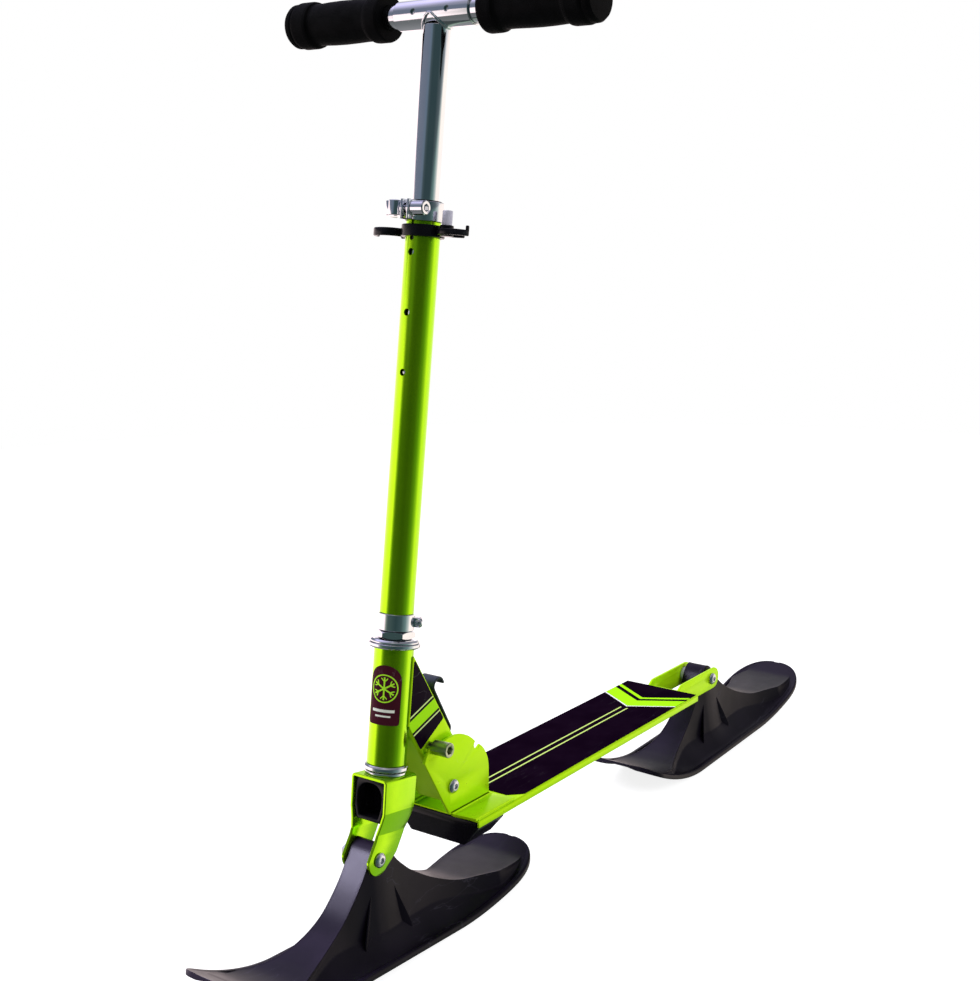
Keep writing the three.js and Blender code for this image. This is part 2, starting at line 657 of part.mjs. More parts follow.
// Column above the head tube
function makeSleeve() {
  const ring = pipe(sleeve.outer, steerer.outer + seatGap, sleeve.bottom, sleeve.top);
  const lug = block(sleeve.outer - overrun, sleeve.lugReach, -sleeve.lugHalf, sleeve.lugHalf,
    sleeve.lugBottom, sleeve.lugTop);
  const slit = block(0, sleeve.lugReach + overrun, -sleeve.slit / 2, sleeve.slit / 2,
    sleeve.bottom - overrun, sleeve.top + overrun);
  const middle = (sleeve.lugBottom + sleeve.lugTop) / 2;
  const hole = layForward(rod(sleeve.screwRadius + seatGap, -sleeve.screwHalf * 2, sleeve.screwHalf * 2),
    sleeve.screwPlace, middle);
  const bore = rod(steerer.outer + seatGap, sleeve.bottom - overrun, sleeve.top + overrun, roundSteps);
  return cut(join([ring, lug]), [slit, hole, bore]).rotate([0, 0, sleeve.turn]);
}

function makeSleeveScrew() {
  const middle = (sleeve.lugBottom + sleeve.lugTop) / 2;
  const screw = boltSolid(sleeve.screwRadius, -sleeve.screwHalf, sleeve.lugHalf + seatGap, sleeve.screwHead,
    sleeve.screwHeadHeight, sleeve.screwSocket, sleeve.screwSocketDepth);
  return layForward(screw, sleeve.screwPlace, middle).rotate([0, 0, sleeve.turn]);
}

function makeOuterTube() {
  const tube = pipe(column.outer, boreOuter, column.bottom, column.top);
  const far = column.outer * 2;
  const holes = [];
  for (let k = 0; k < column.holeCount; k += 1) {
    holes.push(layForward(rod(column.holeRadius, 0, far), 0, column.lowHole + k * column.holePitch));
  }
  holes.push(layForward(rod(column.reliefRadius, 0, far), 0, column.reliefHole));
  holes.push(block(-column.slit / 2, column.slit / 2, -far, 0, column.reliefHole, column.top + overrun));
  return cut(tube, holes);
}

function makeBush() {
  const inner = boreOuter - seatGap - bush.wall;
  const top = column.top + seatGap;
  const body = turned([
    [inner, bush.bottom], [boreOuter - seatGap, bush.bottom], [boreOuter - seatGap, top],
    [bush.flangeRadius, top], [bush.flangeRadius, top + bush.flange], [inner, top + bush.flange],
  ]);
  return body.subtract(block(-bush.slit / 2, bush.slit / 2, -column.outer * 2, 0, bush.bottom - overrun,
    column.top + bush.flange + overrun));
}

function makeCollar() {
  const inner = column.outer + seatGap;
  const ring = pipe(inner + clamp.wall, inner, clamp.bottom, clamp.top);
  const earHalf = clamp.slit / 2 + clamp.earThick;
  const middle = (clamp.bottom + clamp.top) / 2;
  const round = (clamp.top - clamp.bottom) / 2 - seatGap;
  const ears = alongX(outline([
    [-inner + overrun, clamp.bottom], [-clamp.earReach, clamp.bottom, round],
    [-clamp.earReach, clamp.top, round], [-inner + overrun, clamp.top],
  ]), -earHalf, earHalf);
  const slit = block(-clamp.slit / 2, clamp.slit / 2, -clamp.earReach - overrun, 0, clamp.bottom - overrun,
    clamp.top + overrun);
  const hole = layX(rod(clamp.skewerRadius + seatGap, -earHalf * 2, earHalf * 2), -clamp.skewerPlace, middle);
  const bore = rod(inner, clamp.bottom - overrun, clamp.top + overrun, roundSteps);
  return cut(join([ring, ears]), [slit, hole, bore]);
}

const clampMiddle = (clamp.bottom + clamp.top) / 2;
const earFace = clamp.slit / 2 + clamp.earThick + seatGap;

function makeSkewer() {
  const shaft = rod(clamp.skewerRadius, -lever.camPlace, clamp.nutEnd - clamp.nutSocketDepth - seatGap);
  return layX(shaft, -clamp.skewerPlace, clampMiddle);
}

function makeSkewerNut() {
  const washer = rod(clamp.nutRadius - seatGap, earFace, earFace + clamp.washer - seatGap, boltSteps);
  const barrel = rod(clamp.nutRadius, earFace + clamp.washer - seatGap, clamp.nutEnd, boltSteps);
  const floor = clamp.nutEnd - clamp.nutSocketDepth;
  const key = rod(hexRadius(clamp.nutSocket), floor, clamp.nutEnd + overrun, hexSides);
  const bore = rod(clamp.skewerRadius + seatGap, 0, clamp.nutEnd);
  return layX(cut(join([washer, barrel]), [key, bore]), -clamp.skewerPlace, clampMiddle);
}

// The cam lever lies round the column's left front; its head turns about an upright cam pin.
function makeCamLever() {
  const spine = new THREE.SplineCurve(lever.shares.map(([out, back]) => new THREE.Vector2(
    -lever.camPlace * out, clamp.skewerPlace * back,
  )));
  const steps = lever.spineSteps;
  const left = [];
  const right = [];
  for (let k = 0; k <= steps; k += 1) {
    const at = spine.getPoint(k / steps);
    const along = spine.getTangent(k / steps);
    const half = (lever.thick / 2) * (1 - lever.taperShare * (k / steps) ** lever.taperPower);
    left.push([at.x - along.y * half, at.y + along.x * half]);
    right.push([at.x + along.y * half, at.y - along.x * half]);
  }
  const blade = alongZ(outline([...left, ...right.reverse()]), lever.bottom, lever.top);
  const cam = rod(lever.camRadius, lever.bottom, lever.top)
    .translate([-lever.camPlace, -clamp.skewerPlace, 0]);
  const open = clamp.skewerRadius + seatGap * 2;
  const eye = layX(rod(open, -lever.camPlace - overrun, 0), -clamp.skewerPlace, clampMiddle);
  const swing = block(-lever.camPlace - open, 0, -clamp.skewerPlace - lever.camRadius * 2, -clamp.skewerPlace,
    clampMiddle - open, clampMiddle + open);
  return cut(join([blade, cam]), [eye, swing]);
}

function makeHolder() {
  const inner = column.outer + seatGap;
  const ring = pipe(inner + holder.wall, inner, holder.bottom, holder.top);
  const hook = (side) => {
    const rim = holder.hookRadius + holder.hookThick;
    const open = pipe(rim, holder.hookRadius, holder.armBottom, holder.armTop, holder.hookSteps)
      .subtract(block(0, rim + overrun, 0, rim + overrun, holder.bottom, holder.top))
      .translate([holder.hookPlace, holder.hookBack, 0]);
    return side < 0 ? open.mirror([1, 0, 0]) : open;
  };
  const tickX = holder.hookPlace + holder.hookRadius;
  const tick = block(tickX, tickX + holder.hookThick, holder.hookBack - holder.tickThick, holder.hookBack,
    holder.armBottom, holder.armTop + holder.tick);
  const boss = rod(holder.bossRadius, holder.armBottom, holder.top)
    .translate([holder.bossPlace, -holder.bossFront, 0]);
  const socket = rod(holder.pinRadius + seatGap, holder.top - holder.pinFoot, holder.top + overrun)
    .translate([holder.bossPlace, -holder.bossFront, 0]);
  const bore = rod(inner, holder.bottom - overrun, holder.top + overrun, roundSteps);
  return cut(join([ring, hook(1), hook(-1), tick, boss]), [bore, socket]);
}

function makeHolderPin() {
  return rod(holder.pinRadius, holder.top - holder.pinFoot + seatGap, holder.pinTop)
    .translate([holder.bossPlace, -holder.bossFront, 0]);
}

// Handlebar
function makeTBar() {
  const bottom = column.lowHole - bar.stemBelowButton;
  const stem = rod(bar.stemOuter, bottom, bar.height, roundSteps);
  const sleeveRod = layX(rod(bar.sleeveOuter, -bar.sleeveHalf, bar.sleeveHalf, roundSteps), 0, bar.height);
  const end = bar.sleeveHalf + overrun;
  const snapHoles = [-bar.snapPlace, bar.snapPlace].map((x) => layForward(
    rod(snap.gripRadius + seatGap, 0, bar.sleeveOuter * 2), x, bar.height,
  ));
  return cut(join([stem, sleeveRod]), [
    rod(stemInner, bottom - overrun, bar.height - bar.sleeveOuter, roundSteps),
    layX(rod(bar.sleeveOuter - bar.sleeveWall, -end, end, roundSteps), 0, bar.height),
    layForward(rod(snap.radius + seatGap, 0, bar.stemOuter * 2), 0, column.lowHole),
    ...snapHoles,
  ]);
}

function makeBarTube() {
  const tube = pipe(tubeOuter, tubeOuter - bar.tubeWall, bar.tubeInner, grip.end - grip.capWall - seatGap);
  const hole = layForward(rod(snap.gripRadius + seatGap, 0, tubeOuter * 2), bar.snapPlace, 0);
  return layX(tube).subtract(hole);
}

function makeGrip() {
  const length = grip.end - grip.start;
  const bore = tubeOuter + seatGap;
  const skin = gripShares.map(([along, share]) => [grip.bulge * share, grip.start + length * along]);
  return layX(turned([
    ...skin, [0, grip.end], [0, grip.end - grip.capWall], [bore, grip.end - grip.capWall], [bore, grip.start],
  ]));
}

// A snap button points forward; its collar stops it inside the tube.
function makeButton(radius, collarRadius, tip, length) {
  const neck = tip - length;
  return layForward(turned([
    [0, neck - snap.collar], [collarRadius, neck - snap.collar], [collarRadius, neck], [radius, neck],
    [radius, tip - radius * tipShares.side],
    [radius * tipShares.out, tip - radius * tipShares.outDrop], [0, tip],
  ], boltSteps));
}

// A bent leaf inside the stem pushes the height button forward.
function makeLeaf() {
  const back = stemInner - seatGap - snap.leaf;
  const front = boreOuter - seatGap - snap.stemLength - snap.collar - snap.travelIn - seatGap - snap.leaf;
  const low = column.lowHole - bar.stemBelowButton + overrun;
  const top = low + snap.leafReach;
  return alongX(outline([
    [back, low], [back, top], [back - snap.leaf, top], [back - snap.leaf, low + snap.leaf],
    [-front, top], [-front - snap.leaf, top], [back - snap.leaf * 2, low],
  ]), -snap.leafHalf, snap.leafHalf);
}

// Deck
function makeDeck() {
  const side = deck.halfFront;
  const low = deck.top - deck.strip;
  const shape = outline([
    [-side, low], [-side, deck.top, deck.bend], [side, deck.top, deck.bend], [side, low],
    [side - deck.sheet, low], [side - deck.sheet, deck.top - deck.sheet],
    [-side + deck.sheet, deck.top - deck.sheet], [-side + deck.sheet, low],
  ]);
  const geometry = new THREE.ExtrudeGeometry(shape, { depth: deckRear - deck.front, bevelEnabled: false });
  geometry.translate(0, 0, -deckRear);
  placed(geometry, new THREE.Matrix4().makeBasis(unitX, unitZ, unitY.clone().negate()));
  const place = geometry.attributes.position;
  for (let k = 0; k < place.count; k += 1) {
    const along = (place.getY(k) - deck.front) / (deckRear - deck.front);
    place.setX(k, place.getX(k) * THREE.MathUtils.lerp(1, deck.halfRear / deck.halfFront, along));
  }
  return solidOf(geometry);
}

function makeDecal() {
  const low = deck.top + seatGap / 3;
  const front = deck.halfFront - decal.inset;
  const rear = deck.halfRear - decal.inset;
  return alongZ(outline([
    [-front, decal.front + decal.chamfer], [-front + decal.chamfer, decal.front],
    [front - decal.chamfer, decal.front], [front, decal.front + decal.chamfer],
    [rear, deckRear - decal.rearInset], [-rear, deckRear - decal.rearInset],
  ]), low, low + decal.thick);
}

function makeBeam() {
  const top = deck.top - deck.sheet - seatGap;
  const inner = beam.half - beam.sheet;
  return alongY(outline([
    [-beam.half, top], [-beam.half, top - beam.depth, beam.sheet], [beam.half, top - beam.depth, beam.sheet],
    [beam.half, top], [inner, top], [inner, top - beam.depth + beam.sheet],
    [-inner, top - beam.depth + beam.sheet], [-inner, top],
  ]), beam.front, deckRear - beam.rearInset);
}

function makeCap() {
  const top = deck.top - deck.sheet - seatGap;
  const shell = (inset, endTop) => outline([
    [-cap.half + inset, endTop], [-cap.half + inset, cap.endHeight],
    [-cap.lowHalf + inset, cap.bottom + inset], [cap.lowHalf - inset, cap.bottom + inset],
    [cap.half - inset, cap.endHeight], [cap.half - inset, endTop],
  ]);
  return alongY(shell(0, top), cap.front, cap.rear)
    .subtract(alongY(shell(cap.wall, top - cap.wall), cap.front + cap.wall, cap.rear + overrun));
}

function makeRearFork() {
  const under = deck.top - deck.sheet - seatGap;
  const side = alongX(outline([
    [rearFork.front, rearFork.low], [rearFork.front, under], [rearFork.stepFront, under],
    [rearFork.stepRear, rearFork.top, rearFork.sheet], [rearFork.end, rearFork.top, rearFork.endRound],
    [rearFork.end, rearFork.bottom, rearFork.endRound],
    [rearFork.lowRear, rearFork.bottom, rearFork.endRound],
    [rearFork.lowFront, rearFork.low, rearFork.endRound],
  ]), rearFork.inner, rearFork.inner + rearFork.sheet);
  const web = block(-rearFork.inner - seatGap, rearFork.inner + seatGap, rearFork.webFront, rearFork.webRear,
    rearFork.low, under);
  const half = rearFork.inner * 2;
  const hole = layX(rod(skiBolt.radius + seatGap, -half, half), 0, pivotHeight);
  return join([side, side.mirror([1, 0, 0]), web]).subtract(hole).translate([0, wheelbase, 0]);
}

// Hinge plate on the rider's left: an angle sheet seen from the front, trimmed to the side outline
function polar(radius, degrees) {
  const angle = THREE.MathUtils.degToRad(degrees);
  return [hinge.y + radius * Math.sin(angle), hinge.z + radius * Math.cos(angle)];
}

function lockSlot(degrees, half, innerEnd, outerEnd, x0, x1) {
  const groove = layX(rod(half, x0, x1, boltSteps), 0, innerEnd)
    .add(block(x0, x1, -half, half, innerEnd, outerEnd));
  return groove.rotate([-degrees, 0, 0]).translate([0, hinge.y, hinge.z]);
}

function makeHingePlate() {
  const low = deck.top + seatGap;
  const high = hinge.z + hinge.edge * hinge.highShare;
  const inner = hinge.outer - hinge.sheet;
  const angle = alongY(outline([
    [inner, high], [inner, low, hinge.bend], [hinge.footEdge, low], [hinge.footEdge, low + hinge.sheet],
    [hinge.outer, low + hinge.sheet, hinge.bend / 2], [hinge.outer, high],
  ]), hinge.plateFront - hinge.edge, hinge.plateRear + hinge.edge);
  const edge = plateEdgeShares.map(([degrees, share]) => [...polar(hinge.edge * share, degrees), 0]);
  const side = alongX(outline([
    [hinge.plateFront, low - overrun], ...edge, [hinge.plateRear, low - overrun],
  ]), 0, hinge.outer + seatGap);
  const foot = block(hinge.outer, hinge.footEdge, hinge.footFront, hinge.footRear, low - overrun,
    low + hinge.sheet);
  const far = hinge.edge * 2;
  const folded = quarterTurn - THREE.MathUtils.radToDeg(rake) - lock.angle;
  const slots = [-lock.angle, folded].map((degrees) => lockSlot(
    degrees, lock.radius + lock.slotSlack, lock.seat, far, 0, hinge.outer + overrun,
  ));
  const hole = layX(rod(hinge.boltRadius + seatGap, 0, far), hinge.y, hinge.z);
  return cut(angle.intersect(side.add(foot)), [...slots, hole]);
}

function makePivotBolt() {
  const end = -hinge.outer - hinge.nutHeight - hinge.sheet;
  const bolt = boltSolid(hinge.boltRadius, end, hinge.outer + seatGap, hinge.headRadius,
    hinge.headHeight, skiBolt.socket, skiBolt.socketDepth);
  return layX(bolt, hinge.y, hinge.z);
}

function makePivotNut() {
  const face = -hinge.outer - seatGap;
  const nut = nutSolid(hinge.nutFlats, hinge.boltRadius + seatGap, face - hinge.nutHeight, face);
  return layX(nut, hinge.y, hinge.z);
}

function makePivotWasher() {
  const ring = pipe(hinge.washerRadius, hinge.boltRadius + seatGap, arm.half + seatGap,
    hinge.outer - hinge.sheet - seatGap, boltSteps);
  return layX(ring, hinge.y, hinge.z);
}

// Puts a solid drawn in the arm's frame, its length along Z, into the machine's frame.
function inArm(solid) {
  return solid.rotate([THREE.MathUtils.radToDeg(arm.lean), 0, 0]).translate([0, hinge.y, hinge.z]);
}

// Puts a solid drawn in the steering frame into the machine's frame.
function inSteering(solid) {
  return solid.rotate([-THREE.MathUtils.radToDeg(rake), 0, 0]).translate([0, axisSetback, pivotHeight]);
}

function armOutline(inset) {
  return outline([
    [-arm.front + inset, armReach], [-arm.front + inset, -arm.bottom + inset, arm.frontCorner],
    [arm.bottomBack, -arm.bottom + inset, arm.bottomCorner], [arm.rear - inset, arm.heel, arm.rearCorner],
    [arm.rear - inset, armReach],
  ]);
}

// What lies on the rear side of the head tube's wall
function behindHeadTube(gap) {
  const reach = armReach * 2;
  const slab = block(-reach, reach, arm.tubeCut, reach, 0, reach)
    .subtract(rod(head.outer + gap, -overrun, reach + overrun, roundSteps));
  return inSteering(slab);
}

function makeArm() {
  const outer = alongX(armOutline(0), -arm.half, arm.half);
  const hollow = alongX(outline([
    [-arm.front + arm.sheet, armReach + overrun], [-arm.front + arm.sheet, -arm.bottom * 2],
    [arm.rear + overrun, -arm.bottom * 2], [arm.rear + overrun, armReach + overrun],
  ]), -arm.half + arm.sheet, arm.half - arm.sheet);
  const slotHalf = lock.radius + lock.slotSlack;
  const far = arm.half * 2;
  const slotEnd = lock.seat + lock.lift + lock.over;
  const slotRod = rod(slotHalf, -far, far);
  const slot = layX(slotRod, 0, lock.seat).add(layX(slotRod, 0, slotEnd))
    .add(block(-far, far, -slotHalf, slotHalf, lock.seat, slotEnd))
    .rotate([lock.angle - THREE.MathUtils.radToDeg(arm.lean), 0, 0]);
  const hole = layX(rod(hinge.boltRadius + seatGap, -far, far));
  return inArm(cut(outer, [hollow, slot, hole])).intersect(behindHeadTube(seatGap));
}

function makeArmBush() {
  const half = arm.half - arm.sheet - seatGap;
  return layX(pipe(arm.bushRadius, hinge.boltRadius + seatGap, -half, half, boltSteps), hinge.y, hinge.z);
}

function makeArmDecal() {
  const low = arm.half + seatGap / 3;
  const shape = outline([
    [-arm.front + arm.decalInset, armReach], [-arm.front + arm.decalInset, arm.decalStart],
    [arm.rear - arm.decalInset, arm.decalStart], [arm.rear - arm.decalInset, armReach],
  ]);
  return inArm(alongX(shape, low, low + arm.decalThick)).intersect(behindHeadTube(seatGap));
}

// Lock pin, drawn about Z with its length along X, then set on its line from the fold pivot
function onLockLine(solid) {
  return solid.rotate([lock.angle, 0, 0]).translate([0, hinge.y, hinge.z]);
}

function makeLockPin() {
  const face = hinge.outer + seatGap;
  const shaft = rod(lock.radius, -face, face, boltSteps);
  const barrels = [
    rod(lock.barrelRadius, face, lock.barrelEnd, lock.barrelSteps),
    rod(lock.barrelRadius, -lock.barrelEnd, -face, lock.barrelSteps),
  ];
  const keys = [
    rod(hexRadius(lock.socket), lock.barrelEnd - lock.socketDepth, lock.barrelEnd + overrun, hexSides),
    rod(hexRadius(lock.socket), -lock.barrelEnd - overrun, -lock.barrelEnd + lock.socketDepth, hexSides),
  ];
  return onLockLine(layX(cut(join([shaft, ...barrels]), keys), 0, lock.seat + lock.lift));
}

// Latch strip: an eye round the lock pin, an arm to the rear, the upright strip and its rolled tab
function makeLatchLever() {
  const pin = lock.seat + lock.lift;
  const eyeRadius = lock.radius + seatGap + latch.wrap;
  const eye = layX(rod(eyeRadius, -latch.half, latch.half, boltSteps), 0, pin);
  const strip = alongX(ribbon([
    [eyeRadius * latch.startShare, pin], [latch.run, latch.low, latch.bend],
    [latch.run, latch.high, latch.tabCorner],
    [latch.run + latch.tabReach, latch.high, latch.tabCorner],
    [latch.run + latch.tabReach, latch.high - latch.tabDrop],
  ], latch.thick), -latch.half, latch.half);
  const hole = layX(rod(lock.radius + seatGap, -latch.half * 2, latch.half * 2, boltSteps), 0, pin);
  return onLockLine(join([eye, strip]).subtract(hole));
}

// Ski bolts and their nuts, made about Z and laid along X at the pivot
function makeSkiBolt(outerFace, headHeight, y) {
  const bolt = boltSolid(skiBolt.radius, -outerFace - skiBolt.nutHeight - fork.sheet, outerFace + seatGap,
    skiBolt.headRadius, headHeight, skiBolt.socket, skiBolt.socketDepth);
  return layX(bolt, y, pivotHeight);
}

function makeSkiNut(outerFace, y) {
  const face = -outerFace - seatGap;
  const nut = nutSolid(skiBolt.nutFlats, skiBolt.radius + seatGap, face - skiBolt.nutHeight, face);
  return layX(nut, y, pivotHeight);
}

function makeRearSpacer() {
  const ring = pipe(rearFork.spacerOuter, skiBolt.radius + seatGap, ski.ridgeHalf + seatGap,
    rearFork.inner - seatGap, boltSteps);
  return layX(ring, wheelbase, pivotHeight);
}

// Finishes: colour, roughness, metalness
const lime = { color: 0x9be010, roughness: 0.3, metalness: 0.1 };
const chrome = { color: 0xd8dadf, roughness: 0.12, metalness: 1 };
const zinc = { color: 0xb9bcc4, roughness: 0.35, metalness: 1 };
const blackPlastic = { color: 0x17151b, roughness: 0.45, metalness: 0 };
const rubber = { color: 0x0f0e10, roughness: 0.8, metalness: 0 };
const sheetBlack = { color: 0x120c18, roughness: 0.6, metalness: 0 };
const maroon = { color: 0x2b0d18, roughness: 0.4, metalness: 0 };
const darkSteel = { color: 0x4b4f55, roughness: 0.4, metalness: 0.9 };
const paleNylon = { color: 0xb4b2c2, roughness: 0.5, metalness: 0 };

const machine = new THREE.Group();
machine.position.set(0, -frontToMiddle, standHeight);
const steering = new THREE.Group();
steering.position.set(0, axisSetback, pivotHeight);
steering.rotation.x = -rake;
machine.add(steering);
const handlebar = new THREE.Group();
handlebar.position.z = bar.height;
steering.add(handlebar);

function addPiece(parent, name, solid, finish) {
  const mesh = new THREE.Mesh(geometryOf(solid), new THREE.MeshStandardMaterial(finish));
  mesh.name = name;
  parent.add(mesh);
}

// Adds the piece on the rider's left and its mirror image on the right.
function addPair(parent, name, solid, finish) {
  addPiece(parent, `${name}_left`, solid, finish);
  addPiece(parent, `${name}_right`, solid.mirror([1, 0, 0]), finish);
}

// Deck and hinge bracket
addPiece(machine, 'deck', makeDeck(), lime);
addPiece(machine, 'deck_decal', makeDecal(), sheetBlack);
addPiece(machine, 'deck_beam', makeBeam(), darkSteel);
addPiece(machine, 'front_cap', makeCap(), blackPlastic);
addPiece(machine, 'rear_fork', makeRearFork(), lime);
addPair(machine, 'hinge_plate', makeHingePlate(), lime);
addPiece(machine, 'pivot_bolt', makePivotBolt(), zinc);
addPiece(machine, 'pivot_nut', makePivotNut(), zinc);
addPair(machine, 'pivot_washer', makePivotWasher(), paleNylon);

// Folding arm and lock
addPiece(machine, 'folding_arm', makeArm(), lime);
addPiece(machine, 'arm_bush', makeArmBush(), zinc);
addPair(machine, 'arm_decal', makeArmDecal(), sheetBlack);
addPiece(machine, 'lock_pin', makeLockPin(), darkSteel);
addPiece(machine, 'latch_lever', makeLatchLever(), darkSteel);

// Head tube and headset
addPiece(steering, 'head_tube', pipe(head.outer, head.outer - head.wall, head.bottom, head.top), lime);
addPiece(steering, 'head_label', makeLabel(), maroon);
addPiece(steering, 'lower_cup', makeLowerCup(), chrome);
addPiece(steering, 'upper_cup', makeUpperCup(), chrome);
addPiece(steering, 'lower_bearing', makeBearing(lowerBallMiddle), zinc);
addPiece(steering, 'upper_bearing', makeBearing(upperBallMiddle), zinc);
addPiece(steering, 'lower_race', pipe(bearing.pitchRadius + bearing.ball, steerer.outer + seatGap,
  head.raceBottom, head.raceTop), chrome);
addPiece(steering, 'upper_cone', makeUpperCone(), chrome);
addPiece(steering, 'locknut', nutSolid(head.nutAcross, steerer.outer + seatGap, head.coneTop + seatGap,
  head.nutTop, roundSteps), chrome);

// Steered column
addPiece(steering, 'fork', makeFork(), lime);
addPiece(steering, 'fork_liner', makeLiner(), blackPlastic);
addPiece(steering, 'steerer', pipe(steerer.outer, steerer.outer - steerer.wall, steerer.bottom, steerer.top),
  zinc);
addPiece(steering, 'clamp_sleeve', makeSleeve(), chrome);
addPiece(steering, 'sleeve_screw', makeSleeveScrew(), zinc);
addPiece(steering, 'outer_tube', makeOuterTube(), lime);
addPiece(steering, 'column_bush', makeBush(), blackPlastic);
addPiece(steering, 'clamp_collar', makeCollar(), chrome);
addPiece(steering, 'skewer', makeSkewer(), zinc);
addPiece(steering, 'skewer_nut', makeSkewerNut(), chrome);
addPiece(steering, 'cam_lever', makeCamLever(), chrome);
addPiece(steering, 'holder_clip', makeHolder(), blackPlastic);
addPiece(steering, 'holder_pin', makeHolderPin(), paleNylon);

// Handlebar
addPiece(steering, 't_bar', makeTBar(), chrome);
addPiece(steering, 'button_spring', makeLeaf(), darkSteel);
const heightTip = boreOuter - seatGap;
addPiece(steering, 'height_button', makeButton(snap.radius, snap.collarRadius, heightTip, snap.stemLength)
  .translate([0, 0, column.lowHole]), zinc);
const snapTip = bar.sleeveOuter - bar.sleeveWall - seatGap / 2;
addPair(handlebar, 'bar_tube', makeBarTube(), chrome);
addPair(handlebar, 'grip', makeGrip(), rubber);
addPair(handlebar, 'grip_button', makeButton(snap.gripRadius, snap.gripCollarRadius, snapTip, snap.gripStem)
  .translate([bar.snapPlace, 0, 0]), zinc);

// Skis and their bolts
const frontFace = legHalf;
const rearFace = rearFork.inner + rearFork.sheet;
addPiece(machine, 'front_ski', makeSki(-ski.rock), blackPlastic);
addPiece(machine, 'rear_ski', makeSki(ski.rock).translate([0, wheelbase, 0]), blackPlastic);
addPiece(machine, 'front_ski_bolt', makeSkiBolt(frontFace, skiBolt.headHeight, 0), zinc);
addPiece(machine, 'front_ski_nut', makeSkiNut(frontFace, 0), zinc);
addPiece(machine, 'rear_ski_bolt', makeSkiBolt(rearFace, skiBolt.rearHeadHeight, wheelbase), zinc);
addPiece(machine, 'rear_ski_nut', makeSkiNut(rearFace, wheelbase), zinc);
addPair(machine, 'rear_spacer', makeRearSpacer(), paleNylon);

export default machine;
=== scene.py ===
"""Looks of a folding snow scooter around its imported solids. Sizes are millimetres until a mesh is made."""

import logging
import math
from collections.abc import Sequence
from dataclasses import dataclass
from enum import Enum

import bpy
import numpy as np
from mathutils import Matrix
from mathutils.geometry import tessellate_polygon
from numpy.typing import NDArray


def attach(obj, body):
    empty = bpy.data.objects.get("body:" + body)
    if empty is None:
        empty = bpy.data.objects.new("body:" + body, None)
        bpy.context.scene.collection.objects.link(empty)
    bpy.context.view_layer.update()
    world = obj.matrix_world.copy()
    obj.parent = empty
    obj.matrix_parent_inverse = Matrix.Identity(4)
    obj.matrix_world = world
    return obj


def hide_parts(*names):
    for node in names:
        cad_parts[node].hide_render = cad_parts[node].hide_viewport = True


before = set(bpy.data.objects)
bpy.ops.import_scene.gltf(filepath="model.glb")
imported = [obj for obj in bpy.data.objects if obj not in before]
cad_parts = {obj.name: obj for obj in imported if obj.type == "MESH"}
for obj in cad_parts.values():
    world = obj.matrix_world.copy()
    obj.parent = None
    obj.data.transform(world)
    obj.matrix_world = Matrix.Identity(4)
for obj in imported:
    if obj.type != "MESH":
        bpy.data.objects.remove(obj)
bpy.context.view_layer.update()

Array = NDArray[np.float64]
Index = NDArray[np.int64]
Run = Array | float
Runs = Sequence[Run]
Pair = tuple[float, float]
Spot = tuple[float, float, float]
Colour = tuple[float, float, float]
Sizes = tuple[float, ...]
Path = tuple[Sizes, ...]
Stops = tuple[tuple[float, Colour], ...]
Tree = bpy.types.NodeTree
Socket = bpy.types.NodeSocket
Thing = bpy.types.Object
Stuff = Socket | Colour
log = logging.getLogger("snow_scooter")

MM = 0.001
RAKE = 8.14
MIDDLE = 341.0
STAND = 18.8
BOLT = 76.2
ROCK = 2.5
WHEELBASE = 638.0
STEER_Y = 21.2
FOLD_Y = 99.4
FOLD_Z = 117.0
ARM_LEAN = 31.0
LOCK_LEAN = 29.0
BAR_HEIGHT = 764.7
SHARP_ANGLE = 38.0
ROUND = 72
FINE_ROUND = 96
AXLE_RADIUS = 4.0
AXLE_BORE = 4.3
AXLE_HEAD = 7.0
AXLE_SOCKET = 5.0
AXLE_SOCKET_DEPTH = 2.0
AXLE_NUT = 13.0
CORNER_STEPS = 4
DOME_RINGS = 7
TINY = 0.02


# Placing and joining surfaces

def cos_sin(degrees: float) -> Pair:
    """Cosine and sine of an angle in degrees."""
    return math.cos(math.radians(degrees)), math.sin(math.radians(degrees))


@dataclass(frozen=True)
class Place:
    """Where a drawing frame stands in the row frame: turned about X, then shifted.

    The Y shift counts from the front ski's bolt, and the row frame's middle lies MIDDLE behind it.
    The Z shift counts from STAND above the ground.
    """

    y: float = 0.0
    z: float = 0.0
    tilt: float = 0.0

    def world(self, points: Array) -> Array:
        """Turns drawing points into row frame points in metres."""
        c, s = cos_sin(self.tilt)
        turn = np.array([[1.0, 0.0, 0.0], [0.0, c, -s], [0.0, s, c]])
        return (points @ turn.T + np.array([0.0, self.y - MIDDLE, self.z + STAND])) * MM

    def up(self, height: float) -> "Place":
        """The same frame moved up along its own Z."""
        c, s = cos_sin(self.tilt)
        return Place(self.y - height * s, self.z + height * c, self.tilt)


MACHINE = Place()
STEERING = Place(STEER_Y, BOLT, -RAKE)
BAR = STEERING.up(BAR_HEIGHT)
PIVOT = Place(FOLD_Y, FOLD_Z)
ARM = Place(FOLD_Y, FOLD_Z, ARM_LEAN)
LOCK = Place(FOLD_Y, FOLD_Z, LOCK_LEAN)
FRONT_AXLE = Place(z=BOLT)
REAR_AXLE = Place(WHEELBASE, BOLT)
REAR_END = Place(WHEELBASE)
FRONT_SKI = Place(z=BOLT, tilt=-ROCK)
REAR_SKI = Place(WHEELBASE, BOLT, ROCK)


class Lie(Enum):
    """Which machine axes the drawing's first, second and third coordinates run along."""

    YZX = (1, 2, 0)
    XZY = (0, 2, 1)


